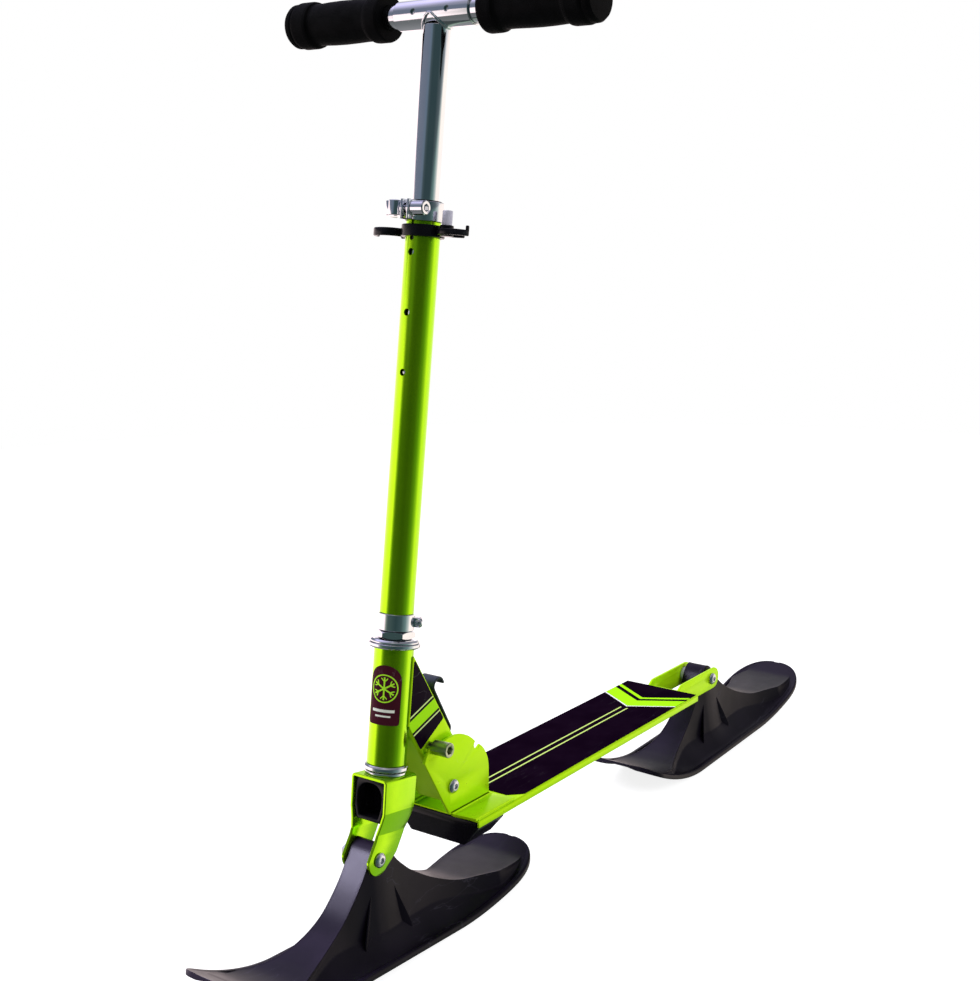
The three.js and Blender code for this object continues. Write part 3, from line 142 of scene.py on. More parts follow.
@dataclass
class Shape:
    """Points and faces of one or more closed surfaces."""

    points: Array
    faces: list[list[int]]

    def __add__(self, other: "Shape") -> "Shape":
        """Both shapes as one."""
        shift = len(self.points)
        moved = [[index + shift for index in face] for face in other.faces]
        return Shape(np.vstack([self.points, other.points]), self.faces + moved)

    def outward(self) -> "Shape":
        """Turns all faces round if the body's signed volume is negative.

        Returns:
            The shape.
        """
        fans = [(f[0], f[k], f[k + 1]) for f in self.faces for k in range(1, len(f) - 1)]
        a, b, c = (self.points[column] for column in np.array(fans).T)
        if float(np.einsum("ij,ij->", a, np.cross(b, c))) < 0:
            return Shape(self.points, [face[::-1] for face in self.faces])
        return self

    def lie(self, order: Lie) -> "Shape":
        """Lays the drawing's axes along other machine axes and keeps the faces outwards."""
        laid = np.empty_like(self.points)
        laid[:, list(order.value)] = self.points
        return Shape(laid, self.faces).outward()

    def moved(self, x: float = 0.0, y: float = 0.0, z: float = 0.0) -> "Shape":
        """Shifts the shape."""
        return Shape(self.points + np.array([x, y, z]), self.faces)

    def turned_z(self, degrees: float) -> "Shape":
        """Turns the shape about Z."""
        c, s = cos_sin(degrees)
        turn = np.array([[c, -s, 0.0], [s, c, 0.0], [0.0, 0.0, 1.0]])
        return Shape(self.points @ turn.T, self.faces)

    def mirrored(self, axis: int = 0) -> "Shape":
        """Mirrors the shape along an axis and turns its faces round."""
        flip = np.ones(3)
        flip[axis] = -1.0
        return Shape(self.points * flip, [face[::-1] for face in self.faces])

    def paired(self) -> "Shape":
        """The shape and its mirror image."""
        return self + self.mirrored()

    def crosswise(self) -> "Shape":
        """Lays a part drawn along Z across the machine."""
        return self.lie(Lie.YZX)

    def forward(self) -> "Shape":
        """Lays a part drawn along Z so that its end points to the front."""
        return self.lie(Lie.XZY).turned_z(180.0)


def unit(vectors: Array) -> Array:
    """Scales vectors to length one."""
    return vectors / np.maximum(np.linalg.norm(vectors, axis=-1, keepdims=True), 1e-9)


def full_turn(steps: int = ROUND) -> Array:
    """Even angles round a whole turn."""
    return np.arange(steps) * 2 * math.pi / steps


def quads(index: Index) -> Index:
    """The four-cornered faces between neighbours in a table of point numbers."""
    corners = (index[:-1, :-1], index[:-1, 1:], index[1:, 1:], index[1:, :-1])
    return np.stack([corner.ravel() for corner in corners], axis=1)


def run_length(path: Array) -> Array:
    """Length along a path up to each of its points."""
    return np.concatenate([[0.0], np.cumsum(np.linalg.norm(np.diff(path, axis=0), axis=1))])


def read_at(at: Array, places: Array, rows: Array) -> Array:
    """Rows read between the given places, straight from one to the next."""
    return np.stack([np.interp(at, places, column) for column in rows.T], axis=1)


def flipped(side: Sequence[Sizes]) -> list[Sizes]:
    """A path's corners mirrored to the other side and taken back to its start."""
    return [(-corner[0], *corner[1:]) for corner in reversed(side)]


def eased(share: Array) -> Array:
    """A share held within 0 and 1 that starts and ends gently: 3 s squared less 2 s cubed."""
    held = np.clip(share, 0, 1)
    return held * held * (3 - 2 * held)


def left_of(vectors: Array) -> Array:
    """Turns plane vectors a quarter turn to the left."""
    return np.stack([-vectors[..., 1], vectors[..., 0]], axis=-1)


def rounded(corners: Sequence[Sizes], closed: bool = True, step: float = 11.0) -> Array:
    """Points of a path whose corners are rounded by arcs.

    At a corner with half angle h between its edges, the arc's centre lies radius / sin h along the
    bisector, and the arc starts radius / tan h along the edge.

    Args:
        corners: Corners as (x, y) or (x, y, radius).
        closed: Whether the last corner joins the first.
        step: Degrees between the points of an arc.

    Returns:
        The points as rows of (x, y).
    """
    spots = np.array([corner[:2] for corner in corners], float)
    runs: list[Array] = []
    for index, corner in enumerate(corners):
        radius = corner[2] if len(corner) > 2 else 0.0
        here = spots[index]
        at_end = not closed and index in (0, len(corners) - 1)
        if radius <= 0 or at_end:
            runs.append(here[None])
            continue
        back = unit(spots[index - 1] - here)
        ahead = unit(spots[(index + 1) % len(corners)] - here)
        half = math.acos(float(np.clip(back @ ahead, -1, 1))) / 2
        centre = here + unit(back + ahead) * radius / math.sin(half)
        start = here + back * radius / math.tan(half) - centre
        turn = math.pi - 2 * half
        side = np.sign(ahead[0] * back[1] - ahead[1] * back[0])
        angles = np.linspace(0, side * turn, max(2, math.ceil(math.degrees(turn) / step)) + 1)
        c, s = np.cos(angles), np.sin(angles)
        runs.append(centre + np.stack([start[0] * c - start[1] * s, start[0] * s + start[1] * c], axis=1))
    path = np.vstack(runs)
    gap = np.linalg.norm(path - np.roll(path, 1, axis=0), axis=1)
    keep = gap > 1e-4
    keep[0] = True
    return path[keep]


def spline(points: Array, count: int) -> Array:
    """A smooth curve through points: each span is a cubic with end slopes half the neighbours' distance.

    Args:
        points: Rows of (x, y) that the curve goes through.
        count: How many points to give back.

    Returns:
        The curve's points, evenly counted along the spans.
    """
    padded = np.vstack([2 * points[0] - points[1], points, 2 * points[-1] - points[-2]])
    at = np.linspace(0, len(points) - 1, count)
    span = np.minimum(at.astype(int), len(points) - 2)
    t = (at - span)[:, None]
    a, b, c, d = (padded[span + k] for k in range(4))
    return b + t * ((c - a) / 2 + t * ((2 * a - 5 * b + 4 * c - d) / 2 + t * (3 * (b - c) + d - a) / 2))


def grid(points: Array, wrap_rows: bool = False, wrap_columns: bool = True, caps: bool = True) -> Shape:
    """A closed surface from rows of rings: quads between neighbours, and a flat face on each end ring.

    Args:
        points: Array of (rows, columns, 3).
        wrap_rows: Whether the last ring joins the first.
        wrap_columns: Whether each ring is closed.
        caps: Whether the end rings are closed by a face.

    Returns:
        The surface with its faces outwards.
    """
    rows, columns = points.shape[:2]
    index = np.arange(rows * columns).reshape(rows, columns)
    if wrap_rows:
        index = np.vstack([index, index[:1]])
    if wrap_columns:
        index = np.hstack([index, index[:, :1]])
    faces = quads(index).tolist()
    if caps and not wrap_rows:
        faces.append(index[0, :columns][::-1].tolist())
        faces.append(index[-1, :columns].tolist())
    return Shape(points.reshape(-1, 3).astype(float), faces).outward()


def turned(profile: Array, steps: int = ROUND, ring: bool = False) -> Shape:
    """A turned solid: each profile point (radius, height) goes round the axis.

    A point at angle p is (radius cos p, radius sin p, height).

    Args:
        profile: Rows of (radius, height).
        steps: Points in a turn.
        ring: Whether the profile is a closed loop, as for a pipe.

    Returns:
        The closed surface.
    """
    turn = full_turn(steps)
    radius, height = profile[:, 0, None], profile[:, 1, None]
    points = np.stack([radius * np.cos(turn), radius * np.sin(turn), height + 0 * turn], axis=-1)
    return grid(points, wrap_rows=ring, caps=not ring)


def rod(radius: float, low: float, high: float, edge: float = 0.5, steps: int = ROUND) -> Shape:
    """A rod about Z with rounded end edges."""
    path = rounded([(TINY, low), (radius, low, edge), (radius, high, edge), (TINY, high)], closed=False)
    return turned(path, steps)


def pipe(outer: float, inner: float, low: float, high: float, edge: float = 0.4,
         steps: int = ROUND) -> Shape:
    """A pipe about Z with rounded edges."""
    edge = min(edge, (outer - inner) * 0.45)
    path = rounded([(inner, low, edge), (outer, low, edge), (outer, high, edge), (inner, high, edge)])
    return turned(path, steps, ring=True)


def inset(loop: Array, distance: float) -> Array:
    """Moves a closed left-turning loop inwards, each point along the mean of its edges' normals.

    Args:
        loop: The loop's points.
        distance: How far each edge moves.

    Returns:
        The moved points.
    """
    ahead = unit(np.roll(loop, -1, axis=0) - loop)
    normal = unit(left_of(ahead) + left_of(np.roll(ahead, 1, axis=0)))
    cosine = np.maximum(0.35, (normal * left_of(ahead)).sum(axis=1, keepdims=True))
    return loop + normal * distance / cosine


def left_turning(loop: Array) -> Array:
    """The loop in the order that turns left: its signed area is positive."""
    nxt = np.roll(loop, -1, axis=0)
    area = float((loop[:, 0] * nxt[:, 1] - nxt[:, 0] * loop[:, 1]).sum())
    return loop if area > 0 else loop[::-1]


def circle(radius: float, x: float = 0.0, y: float = 0.0, steps: int = 40) -> Array:
    """Points of a circle."""
    turn = full_turn(steps)
    return np.stack([x + radius * np.cos(turn), y + radius * np.sin(turn)], axis=1)


def plate(outline: Array, low: float, high: float, edge: float = 0.6, holes: Sequence[Array] = ()) -> Shape:
    """A flat plate with rounded edges and holes.

    The rim of every loop is a quarter circle at each face: inset edge (1 - sin t) at depth
    edge (1 - cos t); the flat faces between the loops are triangulated.

    Args:
        outline: Closed outer loop.
        low: Height of the lower face.
        high: Height of the upper face.
        edge: Radius of the rounded edge.
        holes: Closed loops cut through the plate.

    Returns:
        The closed plate, drawn in the first two coordinates.
    """
    t = np.linspace(0, math.pi / 2, CORNER_STEPS)
    insets = np.concatenate([edge * (1 - np.sin(t)), edge * (1 - np.sin(t))[::-1]])
    heights = np.concatenate([low + edge * (1 - np.cos(t)), high - edge * (1 - np.cos(t))[::-1]])
    loops = [left_turning(outline)] + [left_turning(hole)[::-1] for hole in holes]
    rings = [np.stack([inset(loop, float(d)) for d in insets]) for loop in loops]
    points: list[Array] = []
    faces: list[list[int]] = []
    starts: list[Array] = []
    total = 0
    for ring in rings:
        rows, columns = ring.shape[:2]
        tall = np.broadcast_to(heights[:, None, None], (rows, columns, 1))
        index = np.arange(rows * columns).reshape(rows, columns) + total
        faces += quads(np.hstack([index, index[:, :1]])).tolist()
        points.append(np.concatenate([ring, tall], axis=2).reshape(-1, 3))
        starts.append(index)
        total += rows * columns
    for row, flip in ((0, True), (-1, False)):
        chain = np.concatenate([index[row] for index in starts])
        flat = [[(float(x), float(y), 0.0) for x, y in ring[row]] for ring in rings]
        for triangle in tessellate_polygon(flat):
            face = [int(chain[corner]) for corner in triangle]
            a, b, c = (np.concatenate([ring[row] for ring in rings])[corner] for corner in triangle)
            turn = (b[0] - a[0]) * (c[1] - a[1]) - (b[1] - a[1]) * (c[0] - a[0])
            faces.append(face if (turn > 0) != flip else face[::-1])
    return Shape(np.vstack(points), faces).outward()


def strip(path: Array, low: Run, high: Run, thick: float, edge: float = 0.5) -> Shape:
    """A bent sheet: a rounded rectangle carried along an open path in the first two coordinates.

    At each path point the section spans the third coordinate from low to high and half the
    thickness to both sides along the path's normal. The ends are rounded as the edges are.

    Args:
        path: Open path of (a, b) rows.
        low: Lower bound of the third coordinate, one for all or one a point.
        high: Upper bound of the third coordinate, one for all or one a point.
        thick: Sheet thickness.
        edge: Radius of the rounded edges.

    Returns:
        The closed strip.
    """
    low_row = np.broadcast_to(np.asarray(low, float), (len(path),))
    high_row = np.broadcast_to(np.asarray(high, float), (len(path),))
    edge = min(edge, thick * 0.49)
    step = unit(np.diff(path, axis=0))
    before, after = np.vstack([step[:1], step]), np.vstack([step, step[-1:]])
    mitre = unit(left_of(before) + left_of(after))
    mitre = mitre / np.maximum(0.4, (mitre * left_of(after)).sum(axis=1, keepdims=True))
    length = run_length(path)
    t = np.linspace(0, math.pi / 2, CORNER_STEPS)
    shrink, along = edge * (1 - np.cos(t)), edge * (1 - np.sin(t))
    inside = length[(length > edge * 1.05) & (length < length[-1] - edge * 1.05)]
    at = np.concatenate([along[::-1], inside, length[-1] - along])
    less = np.concatenate([shrink[::-1], np.zeros(len(inside)), shrink])
    spine, normal = read_at(at, length, path), read_at(at, length, mitre)
    lows, highs = np.interp(at, length, low_row), np.interp(at, length, high_row)
    middle = (lows + highs) / 2
    half = np.maximum((highs - lows) / 2 - less, 0.05)
    away = thick / 2 - edge + edge * np.cos(t)
    inner = along
    out_signs = np.concatenate([away, away[::-1] * -1, away * -1, away[::-1]])
    in_wide = np.concatenate([inner, inner[::-1], inner, inner[::-1]])
    side = np.repeat([1.0, 1.0, -1.0, -1.0], CORNER_STEPS)
    thin = 1 - less[:, None] / (thick / 2)
    a = spine[:, None, 0] + normal[:, None, 0] * out_signs * thin
    b = spine[:, None, 1] + normal[:, None, 1] * out_signs * thin
    wide = np.maximum(half[:, None] - in_wide, TINY) * side
    return grid(np.stack([a, b, middle[:, None] + wide], axis=-1))


def sweep(path: Array, radius: Run, steps: int = 12, closed: bool = False) -> Shape:
    """A round bead along a path in space: a circle in the plane square to the path at each point.

    Args:
        path: Rows of (x, y, z).
        radius: The bead's radius, one for all or one a point.
        steps: Points in a circle.
        closed: Whether the path's end joins its start.

    Returns:
        The closed surface.
    """
    ahead = np.roll(path, -1, axis=0) - np.roll(path, 1, axis=0)
    if not closed:
        ahead[0], ahead[-1] = path[1] - path[0], path[-1] - path[-2]
    ahead = unit(ahead)
    guide = np.broadcast_to(np.array([0.31, 0.17, 0.93]), ahead.shape)
    one = unit(np.cross(ahead, guide))
    two = np.cross(ahead, one)
    turn = full_turn(steps)
    size = np.broadcast_to(np.asarray(radius, float), (len(path),))[:, None, None]
    ring = one[:, None] * np.cos(turn)[None, :, None] + two[:, None] * np.sin(turn)[None, :, None]
    return grid(path[:, None] + ring * size, wrap_rows=closed, caps=not closed)


def hex_radius(flats: float, turn: Array) -> Array:
    """Radius of a hexagon's side at each angle: half the flats over the cosine to the nearest flat."""
    sixth = math.pi / 3
    return flats / 2 / np.cos((turn + sixth / 2) % sixth - sixth / 2)


def ring_rows(radii: Runs, heights: Runs) -> Array:
    """Rings round Z as rows of points; each radius and height is one number or one for each angle."""
    turn = full_turn()
    return np.stack([np.stack([r * np.cos(turn), r * np.sin(turn), h + 0 * turn], axis=-1)
                     for r, h in zip(radii, heights)])


def rings_of(radii: Runs, heights: Runs) -> Shape:
    """A solid from rings whose radius and height may both change round the axis."""
    return grid(ring_rows(radii, heights))


def socket_bolt(radius: float, start: float, seat: float, head: float, height: float,
                socket: float, depth: float) -> Shape:
    """A bolt along Z whose domed head has a hexagon socket.

    The dome's height falls with the fourth power of the radius; the socket's rings follow the hexagon.

    Args:
        radius: Radius of the shank.
        start: Height of the shank's end.
        seat: Height of the face under the head.
        head: Radius of the head.
        height: Height of the head.
        socket: Size of the socket across its flats.
        depth: Depth of the socket.

    Returns:
        The closed surface.
    """
    turn = full_turn()
    key = hex_radius(socket, turn)
    top = seat + height
    radii: list[Run] = [TINY, radius - 0.4, radius, radius, head - 0.3, head]
    heights: list[Run] = [start, start, start + 0.4, seat, seat, seat + 0.3]
    for share in np.linspace(0.0, 1.0, DOME_RINGS):
        r = head - (head - socket * 0.66) * share
        radii.append(r)
        heights.append(seat + height * 0.35 + height * 0.65 * (1 - (r / head) ** 4))
    rim = top - height * 0.04
    radii += [key + 0.25, key, key * 0.98, TINY]
    heights += [rim, rim - 0.25, top - depth, top - depth - 0.5]
    return rings_of(radii, heights)


def hex_nut(flats: float, bore: float, low: float, high: float) -> Shape:
    """A nut: the hexagon's corners are cut back by a cone on both faces, so its sides show arcs.

    Args:
        flats: Size across the flats.
        bore: Radius of the hole.
        low: Height of the lower face.
        high: Height of the upper face.

    Returns:
        The closed surface.
    """
    turn = full_turn()
    side, face = hex_radius(flats, turn), flats * 0.475
    drop = (side - face) * 0.55
    points = ring_rows([bore, face, side, side, face, bore], [low, low, low + drop, high - drop, high, high])
    return grid(points, wrap_rows=True, caps=False)


@dataclass(frozen=True)
class CrossBolt:
    """A bolt across the machine with its head on the rider's left, and the nut on its other end."""

    start: float
    seat: float
    dome: float
    nut_start: float
    nut_end: float

    def bolt(self) -> Shape:
        """The bolt."""
        return socket_bolt(AXLE_RADIUS, self.start, self.seat, AXLE_HEAD, self.dome, AXLE_SOCKET,
                           AXLE_SOCKET_DEPTH).crosswise()

    def nut(self) -> Shape:
        """The nut."""
        return hex_nut(AXLE_NUT, AXLE_BORE, self.nut_start, self.nut_end).crosswise()


# Finishes

def mixed(tree: Tree, share: Socket, first: Stuff, second: Stuff) -> Socket:
    """A colour between two.

    Args:
        tree: The nodes of the material or world.
        share: How much of the second there is.
        first: A colour's socket, or a plain colour.
        second: The same for the other colour.

    Returns:
        The socket that gives the colour.
    """
    node = tree.nodes.new("ShaderNodeMix")
    node.data_type = "RGBA"
    tree.links.new(share, node.inputs["Factor"])
    for name, stuff in (("A", first), ("B", second)):
        if isinstance(stuff, Socket):
            tree.links.new(stuff, node.inputs[name])
        else:
            node.inputs[name].default_value = (*stuff, 1.0)
    return node.outputs["Result"]


class Term:
    """A number that shader nodes work out, so that a pattern can be written as a formula."""

    def __init__(self, tree: Tree, socket: Socket) -> None:
        """Keeps the tree and the socket that gives the number."""
        self.tree = tree
        self.socket = socket

    def math(self, operation: str, *others: "Term | float") -> "Term":
        """Adds a math node that takes this number and the others.

        Args:
            operation: The node's operation.
            others: The numbers after this one.

        Returns:
            The node's result.
        """
        node = self.tree.nodes.new("ShaderNodeMath")
        node.operation = operation
        for index, item in enumerate((self, *others)):
            if isinstance(item, Term):
                self.tree.links.new(item.socket, node.inputs[index])
            else:
                node.inputs[index].default_value = float(item)
        return Term(self.tree, node.outputs[0])

    def __add__(self, other: "Term | float") -> "Term":
        """The sum."""
        return self.math("ADD", other)

    def __sub__(self, other: "Term | float") -> "Term":
        """The difference."""
        return self.math("SUBTRACT", other)

    def __mul__(self, other: "Term | float") -> "Term":
        """The product."""
        return self.math("MULTIPLY", other)

    def size(self) -> "Term":
        """The number without its sign."""
        return self.math("ABSOLUTE")

    def most(self, other: "Term | float") -> "Term":
        """The larger of two numbers."""
        return self.math("MAXIMUM", other)

    def least(self, other: "Term | float") -> "Term":
        """The smaller of two numbers."""
        return self.math("MINIMUM", other)

    def above(self, edge: float, soft: float) -> "Term":
        """0 below the edge and 1 above it, with a soft step.

        Args:
            edge: Where the step is.
            soft: How wide it is.

        Returns:
            The share.
        """
        node = self.tree.nodes.new("ShaderNodeMapRange")
        node.interpolation_type = "SMOOTHSTEP"
        self.tree.links.new(self.socket, node.inputs["Value"])
        node.inputs["From Min"].default_value = edge - soft / 2
        node.inputs["From Max"].default_value = edge + soft / 2
        return Term(self.tree, node.outputs["Result"])

    def band(self, middle: float, half: float, soft: float) -> "Term":
        """1 within half of the middle and 0 outside, with soft edges."""
        return ((self - middle).size() * -1.0).above(-half, soft)


class Workshop:
    """One material's nodes, with the few that every finish here needs."""

    def __init__(self, name: str) -> None:
        """Starts a material with its Principled shader.

        Args:
            name: The material's name.
        """
        self.material = bpy.data.materials.new(name)
        self.material.use_nodes = True
        self.tree = self.material.node_tree
        self.shader = self.tree.nodes["Principled BSDF"]
        coordinates = self.tree.nodes.new("ShaderNodeTexCoord")
        self.place = coordinates.outputs["Object"]
        self.own = coordinates.outputs["UV"]

    def axes(self, own: bool = False) -> tuple[Term, Term, Term]:
        """The three coordinates in millimetres."""
        split = self.tree.nodes.new("ShaderNodeSeparateXYZ")
        self.tree.links.new(self.own if own else self.place, split.inputs[0])
        return tuple(Term(self.tree, split.outputs[k]) * (1 / MM) for k in range(3))

    def noise(self, size_mm: float, detail: float = 3.0, stretch: Spot = (1.0, 1.0, 1.0)) -> Term:
        """Cloudy noise.

        Args:
            size_mm: How large its blobs are.
            detail: How many finer layers it has.
            stretch: How much it is packed along each axis.

        Returns:
            The noise, around 0.5.
        """
        mapping = self.tree.nodes.new("ShaderNodeMapping")
        mapping.inputs["Scale"].default_value = stretch
        self.tree.links.new(self.place, mapping.inputs["Vector"])
        node = self.tree.nodes.new("ShaderNodeTexNoise")
        node.inputs["Scale"].default_value = 1 / (size_mm * MM)
        node.inputs["Detail"].default_value = detail
        self.tree.links.new(mapping.outputs[0], node.inputs["Vector"])
        return Term(self.tree, node.outputs["Fac"])

    def mix(self, share: Term, first: Stuff, second: Stuff) -> Socket:
        """A colour between two, by a share."""
        return mixed(self.tree, share.socket, first, second)

    def link(self, source: Term | Socket, name: str) -> None:
        """Feeds one of the shader's sockets."""
        socket = source.socket if isinstance(source, Term) else source
        self.tree.links.new(socket, self.shader.inputs[name])

    def bump(self, height: Term, depth_mm: float, strength: float = 0.6) -> None:
        """Adds surface relief from a height.

        Args:
            height: The relief as a share.
            depth_mm: Its depth.
            strength: How strongly it shows.
        """
        node = self.tree.nodes.new("ShaderNodeBump")
        node.inputs["Distance"].default_value = depth_mm * MM
        node.inputs["Strength"].default_value = strength
        self.tree.links.new(height.socket, node.inputs["Height"])
        self.tree.links.new(node.outputs["Normal"], self.shader.inputs["Normal"])

    def set(self, **values: float) -> None:
        """Sets plain numbers on the shader's own sockets, underscores standing for spaces."""
        for name, value in values.items():
            self.shader.inputs[name.replace("_", " ")].default_value = value


@dataclass(frozen=True)
class Finish:
    """A finish with one main colour, cloudy variation, fine scuffs and a bumpy grain.

    The scuffs are narrow bands of a stretched noise, where the surface is paler and rougher.
    """

    name: str
    slot: str
    colour: Colour
    shade: Colour
    roughness: float
    metallic: float = 0.0
    specular: float = 0.5
    coat: float = 0.0
    cloud_mm: float = 24.0
    grain_mm: float = 0.8
    grain_depth: float = 0.02
    scuff: float = 0.25
    scuff_colour: Colour = (0.5, 0.5, 0.5)
    scuff_mm: float = 9.0
    rough_swing: float = 0.12

    def paint(self, shop: Workshop) -> Socket:
        """The colour before scuffs."""
        return shop.mix(shop.noise(self.cloud_mm).above(0.5, 0.5), self.colour, self.shade)

    def build(self) -> bpy.types.Material:
        """Makes the material.

        Returns:
            The material.
        """
        shop = Workshop(self.name)
        scratches = shop.noise(self.scuff_mm, 6.0, (1.0, 0.12, 0.35)).band(0.5, 0.004, 0.006)
        patches = shop.noise(self.scuff_mm * 5).above(0.56, 0.14)
        scuffs = scratches * patches * self.scuff
        shop.link(shop.mix(scuffs, self.paint(shop), self.scuff_colour), "Base Color")
        rough = shop.noise(self.cloud_mm / 3) * self.rough_swing + (self.roughness - self.rough_swing / 2)
        shop.link((rough + scuffs * 0.3).least(1.0).most(0.03), "Roughness")
        shop.bump(shop.noise(self.grain_mm, 2.0), self.grain_depth)
        shop.set(Metallic=self.metallic, Specular_IOR_Level=self.specular, Coat_Weight=self.coat,
                 Coat_Roughness=0.08)
        return shop.material


@dataclass(frozen=True)
class DeckPrint(Finish):
    """A black sheet with a pair of thin lines along it and two lime chevrons near its rear end."""

    lime: Colour = (0.36, 0.80, 0.01)
    pale: Colour = (0.55, 0.72, 0.20)
    white: Colour = (0.9, 0.9, 0.92)

    def paint(self, shop: Workshop) -> Socket:
        """Lines at even distance from the middle, and chevrons whose place runs back with |x|.

        Args:
            shop: The material's nodes.

        Returns:
            The colour.
        """
        x, y, _ = shop.axes()
        base = super().paint(shop)
        chevron = y - x.size() * 0.62
        lines = x.size().band(4.2, 0.95, 0.5) * (chevron.above(118.0, 0.5) * -1.0 + 1.0)
        first = chevron.band(139.0, 11.0, 0.5)
        edge = chevron.band(126.6, 1.0, 0.4)
        second = chevron.band(160.0, 3.0, 0.5)
        base = shop.mix(lines, base, self.pale)
        base = shop.mix(first.most(second), base, self.lime)
        return shop.mix(edge, base, self.white)


@dataclass(frozen=True)
class ArmPrint(Finish):
    """A black sheet with a slanting lime band that has a pale line on each side."""

    lime: Colour = (0.36, 0.80, 0.01)
    pale: Colour = (0.62, 0.78, 0.30)

    def paint(self, shop: Workshop) -> Socket:
        """The bands follow the sum of height and length, so that they lie level on the slanting arm.

        Args:
            shop: The material's nodes.

        Returns:
            The colour.
        """
        _, y, z = shop.axes()
        base = super().paint(shop)
        slant = z - y * 0.35 - 312.0
        base = shop.mix(slant.band(0.0, 6.5, 0.5), base, self.lime)
        return shop.mix(slant.size().band(10.0, 0.8, 0.4), base, self.pale)


@dataclass(frozen=True)
class LabelPrint(Finish):
    """A dark label with a lime ring round a six-armed snow crystal, and two short bars below."""

    lime: Colour = (0.40, 0.82, 0.03)
    pale: Colour = (0.72, 0.76, 0.66)

    def paint(self, shop: Workshop) -> Socket:
        """The crystal is three lines through the middle at thirds of a half turn, with chevron tips.

        Args:
            shop: The material's nodes.

        Returns:
            The colour.
        """
        u, v, _ = shop.axes(own=True)
        base = super().paint(shop)
        up = v - 154.5
        radius = (u * u + up * up).math("SQRT")
        ring = radius.band(12.6, 0.6, 0.4)
        arms: Term | None = None
        for turn in (0.0, 60.0, 120.0):
            c, s = cos_sin(turn)
            across, along = u * c + up * s, up * c - u * s
            line = across.size().band(0.0, 0.75, 0.3)
            fork = (along.size() - across.size()).band(6.4, 0.7, 0.3) * across.size().band(0.0, 3.2, 0.3)
            arm = line.most(fork)
            arms = arm if arms is None else arms.most(arm)
        crystal = arms * (radius.above(10.6, 0.4) * -1.0 + 1.0)
        bars = (v.band(133.8, 1.3, 0.4) * u.size().band(0.0, 11.0, 0.4)).most(
            v.band(128.8, 0.8, 0.4) * u.size().band(0.0, 7.5, 0.4))
        base = shop.mix(ring.most(crystal), base, self.lime)
        return shop.mix(bars, base, self.pale)


LIME_PAINT = Finish(
    "lime_paint", "lime_paint", (0.43, 0.86, 0.004), (0.47, 0.88, 0.006), 0.16, metallic=0.94, specular=0.0,
    coat=0.16, grain_mm=1.6, grain_depth=0.008, scuff=0.10, scuff_colour=(0.62, 0.9, 0.12))
LIME_PLATE = Finish(
    "lime_plate", "lime_paint", (0.49, 0.89, 0.005), (0.52, 0.90, 0.008), 0.30, metallic=0.45, specular=0.0,
    coat=0.04, grain_mm=1.6, grain_depth=0.012, scuff=0.14, scuff_colour=(0.62, 0.9, 0.16))
CHROME = Finish(
    "chrome", "chrome", (0.84, 0.85, 0.88), (0.78, 0.80, 0.85), 0.09, metallic=1.0, rough_swing=0.05,
    grain_mm=3.0, grain_depth=0.004, scuff=0.2, scuff_colour=(0.95, 0.95, 0.97))
ZINC = Finish(
    "zinc", "zinc", (0.84, 0.84, 0.88), (0.70, 0.71, 0.78), 0.26, metallic=1.0, cloud_mm=5.0,
    grain_mm=0.5, grain_depth=0.01, scuff=0.3, scuff_colour=(0.85, 0.85, 0.88))
PIN_STEEL = Finish(
    "pin_steel", "dark_steel", (0.40, 0.46, 0.26), (0.46, 0.50, 0.36), 0.30, metallic=1.0, cloud_mm=7.0,
    grain_mm=0.4, grain_depth=0.01, scuff=0.4, scuff_colour=(0.7, 0.72, 0.68))
DARK_STEEL = Finish(
    "dark_steel", "dark_steel", (0.045, 0.055, 0.065), (0.07, 0.08, 0.095), 0.36, metallic=0.75,
    specular=0.2, grain_mm=0.6, scuff=0.3, scuff_colour=(0.30, 0.31, 0.35))
SKI_PLASTIC = Finish(
    "ski_plastic", "black_plastic", (0.004, 0.003, 0.006), (0.007, 0.005, 0.010), 0.36, specular=0.11,
    cloud_mm=45.0, grain_mm=0.7, scuff=0.18, scuff_colour=(0.10, 0.095, 0.13), scuff_mm=14.0)
GLOSS_PLASTIC = Finish(
    "gloss_plastic", "black_plastic", (0.003, 0.003, 0.004), (0.006, 0.005, 0.008), 0.22, specular=0.22,
    grain_mm=1.2, grain_depth=0.01, scuff=0.12, scuff_colour=(0.10, 0.10, 0.12))
GRIP_FOAM = Finish(
    "grip_foam", "grip_rubber", (0.0022, 0.0022, 0.0024), (0.0036, 0.0036, 0.0040), 0.60, specular=0.03,
    cloud_mm=12.0, grain_mm=0.45, grain_depth=0.07, scuff=0.1, scuff_colour=(0.02, 0.02, 0.022))
PALE_NYLON = Finish(
    "pale_nylon", "pale_nylon", (0.52, 0.51, 0.60), (0.46, 0.45, 0.55), 0.42, cloud_mm=6.0, grain_mm=0.5)
DECK_PRINT = DeckPrint(
    "deck_print", "deck_sheet", (0.0045, 0.0012, 0.0060), (0.007, 0.0025, 0.009), 0.55, specular=0.0,
    grain_mm=0.55, grain_depth=0.05, scuff=0.12, scuff_colour=(0.10, 0.09, 0.11), scuff_mm=18.0)
ARM_PRINT = ArmPrint(
    "arm_print", "deck_sheet", (0.0045, 0.0015, 0.0060), (0.008, 0.003, 0.010), 0.40, specular=0.02,
    scuff=0.12)
LABEL_PRINT = LabelPrint(
    "label_print", "label_print", (0.040, 0.006, 0.012), (0.052, 0.008, 0.016), 0.35, specular=0.03,
    scuff=0.12, grain_depth=0.01)

Row = tuple[str, str, Shape, Finish]


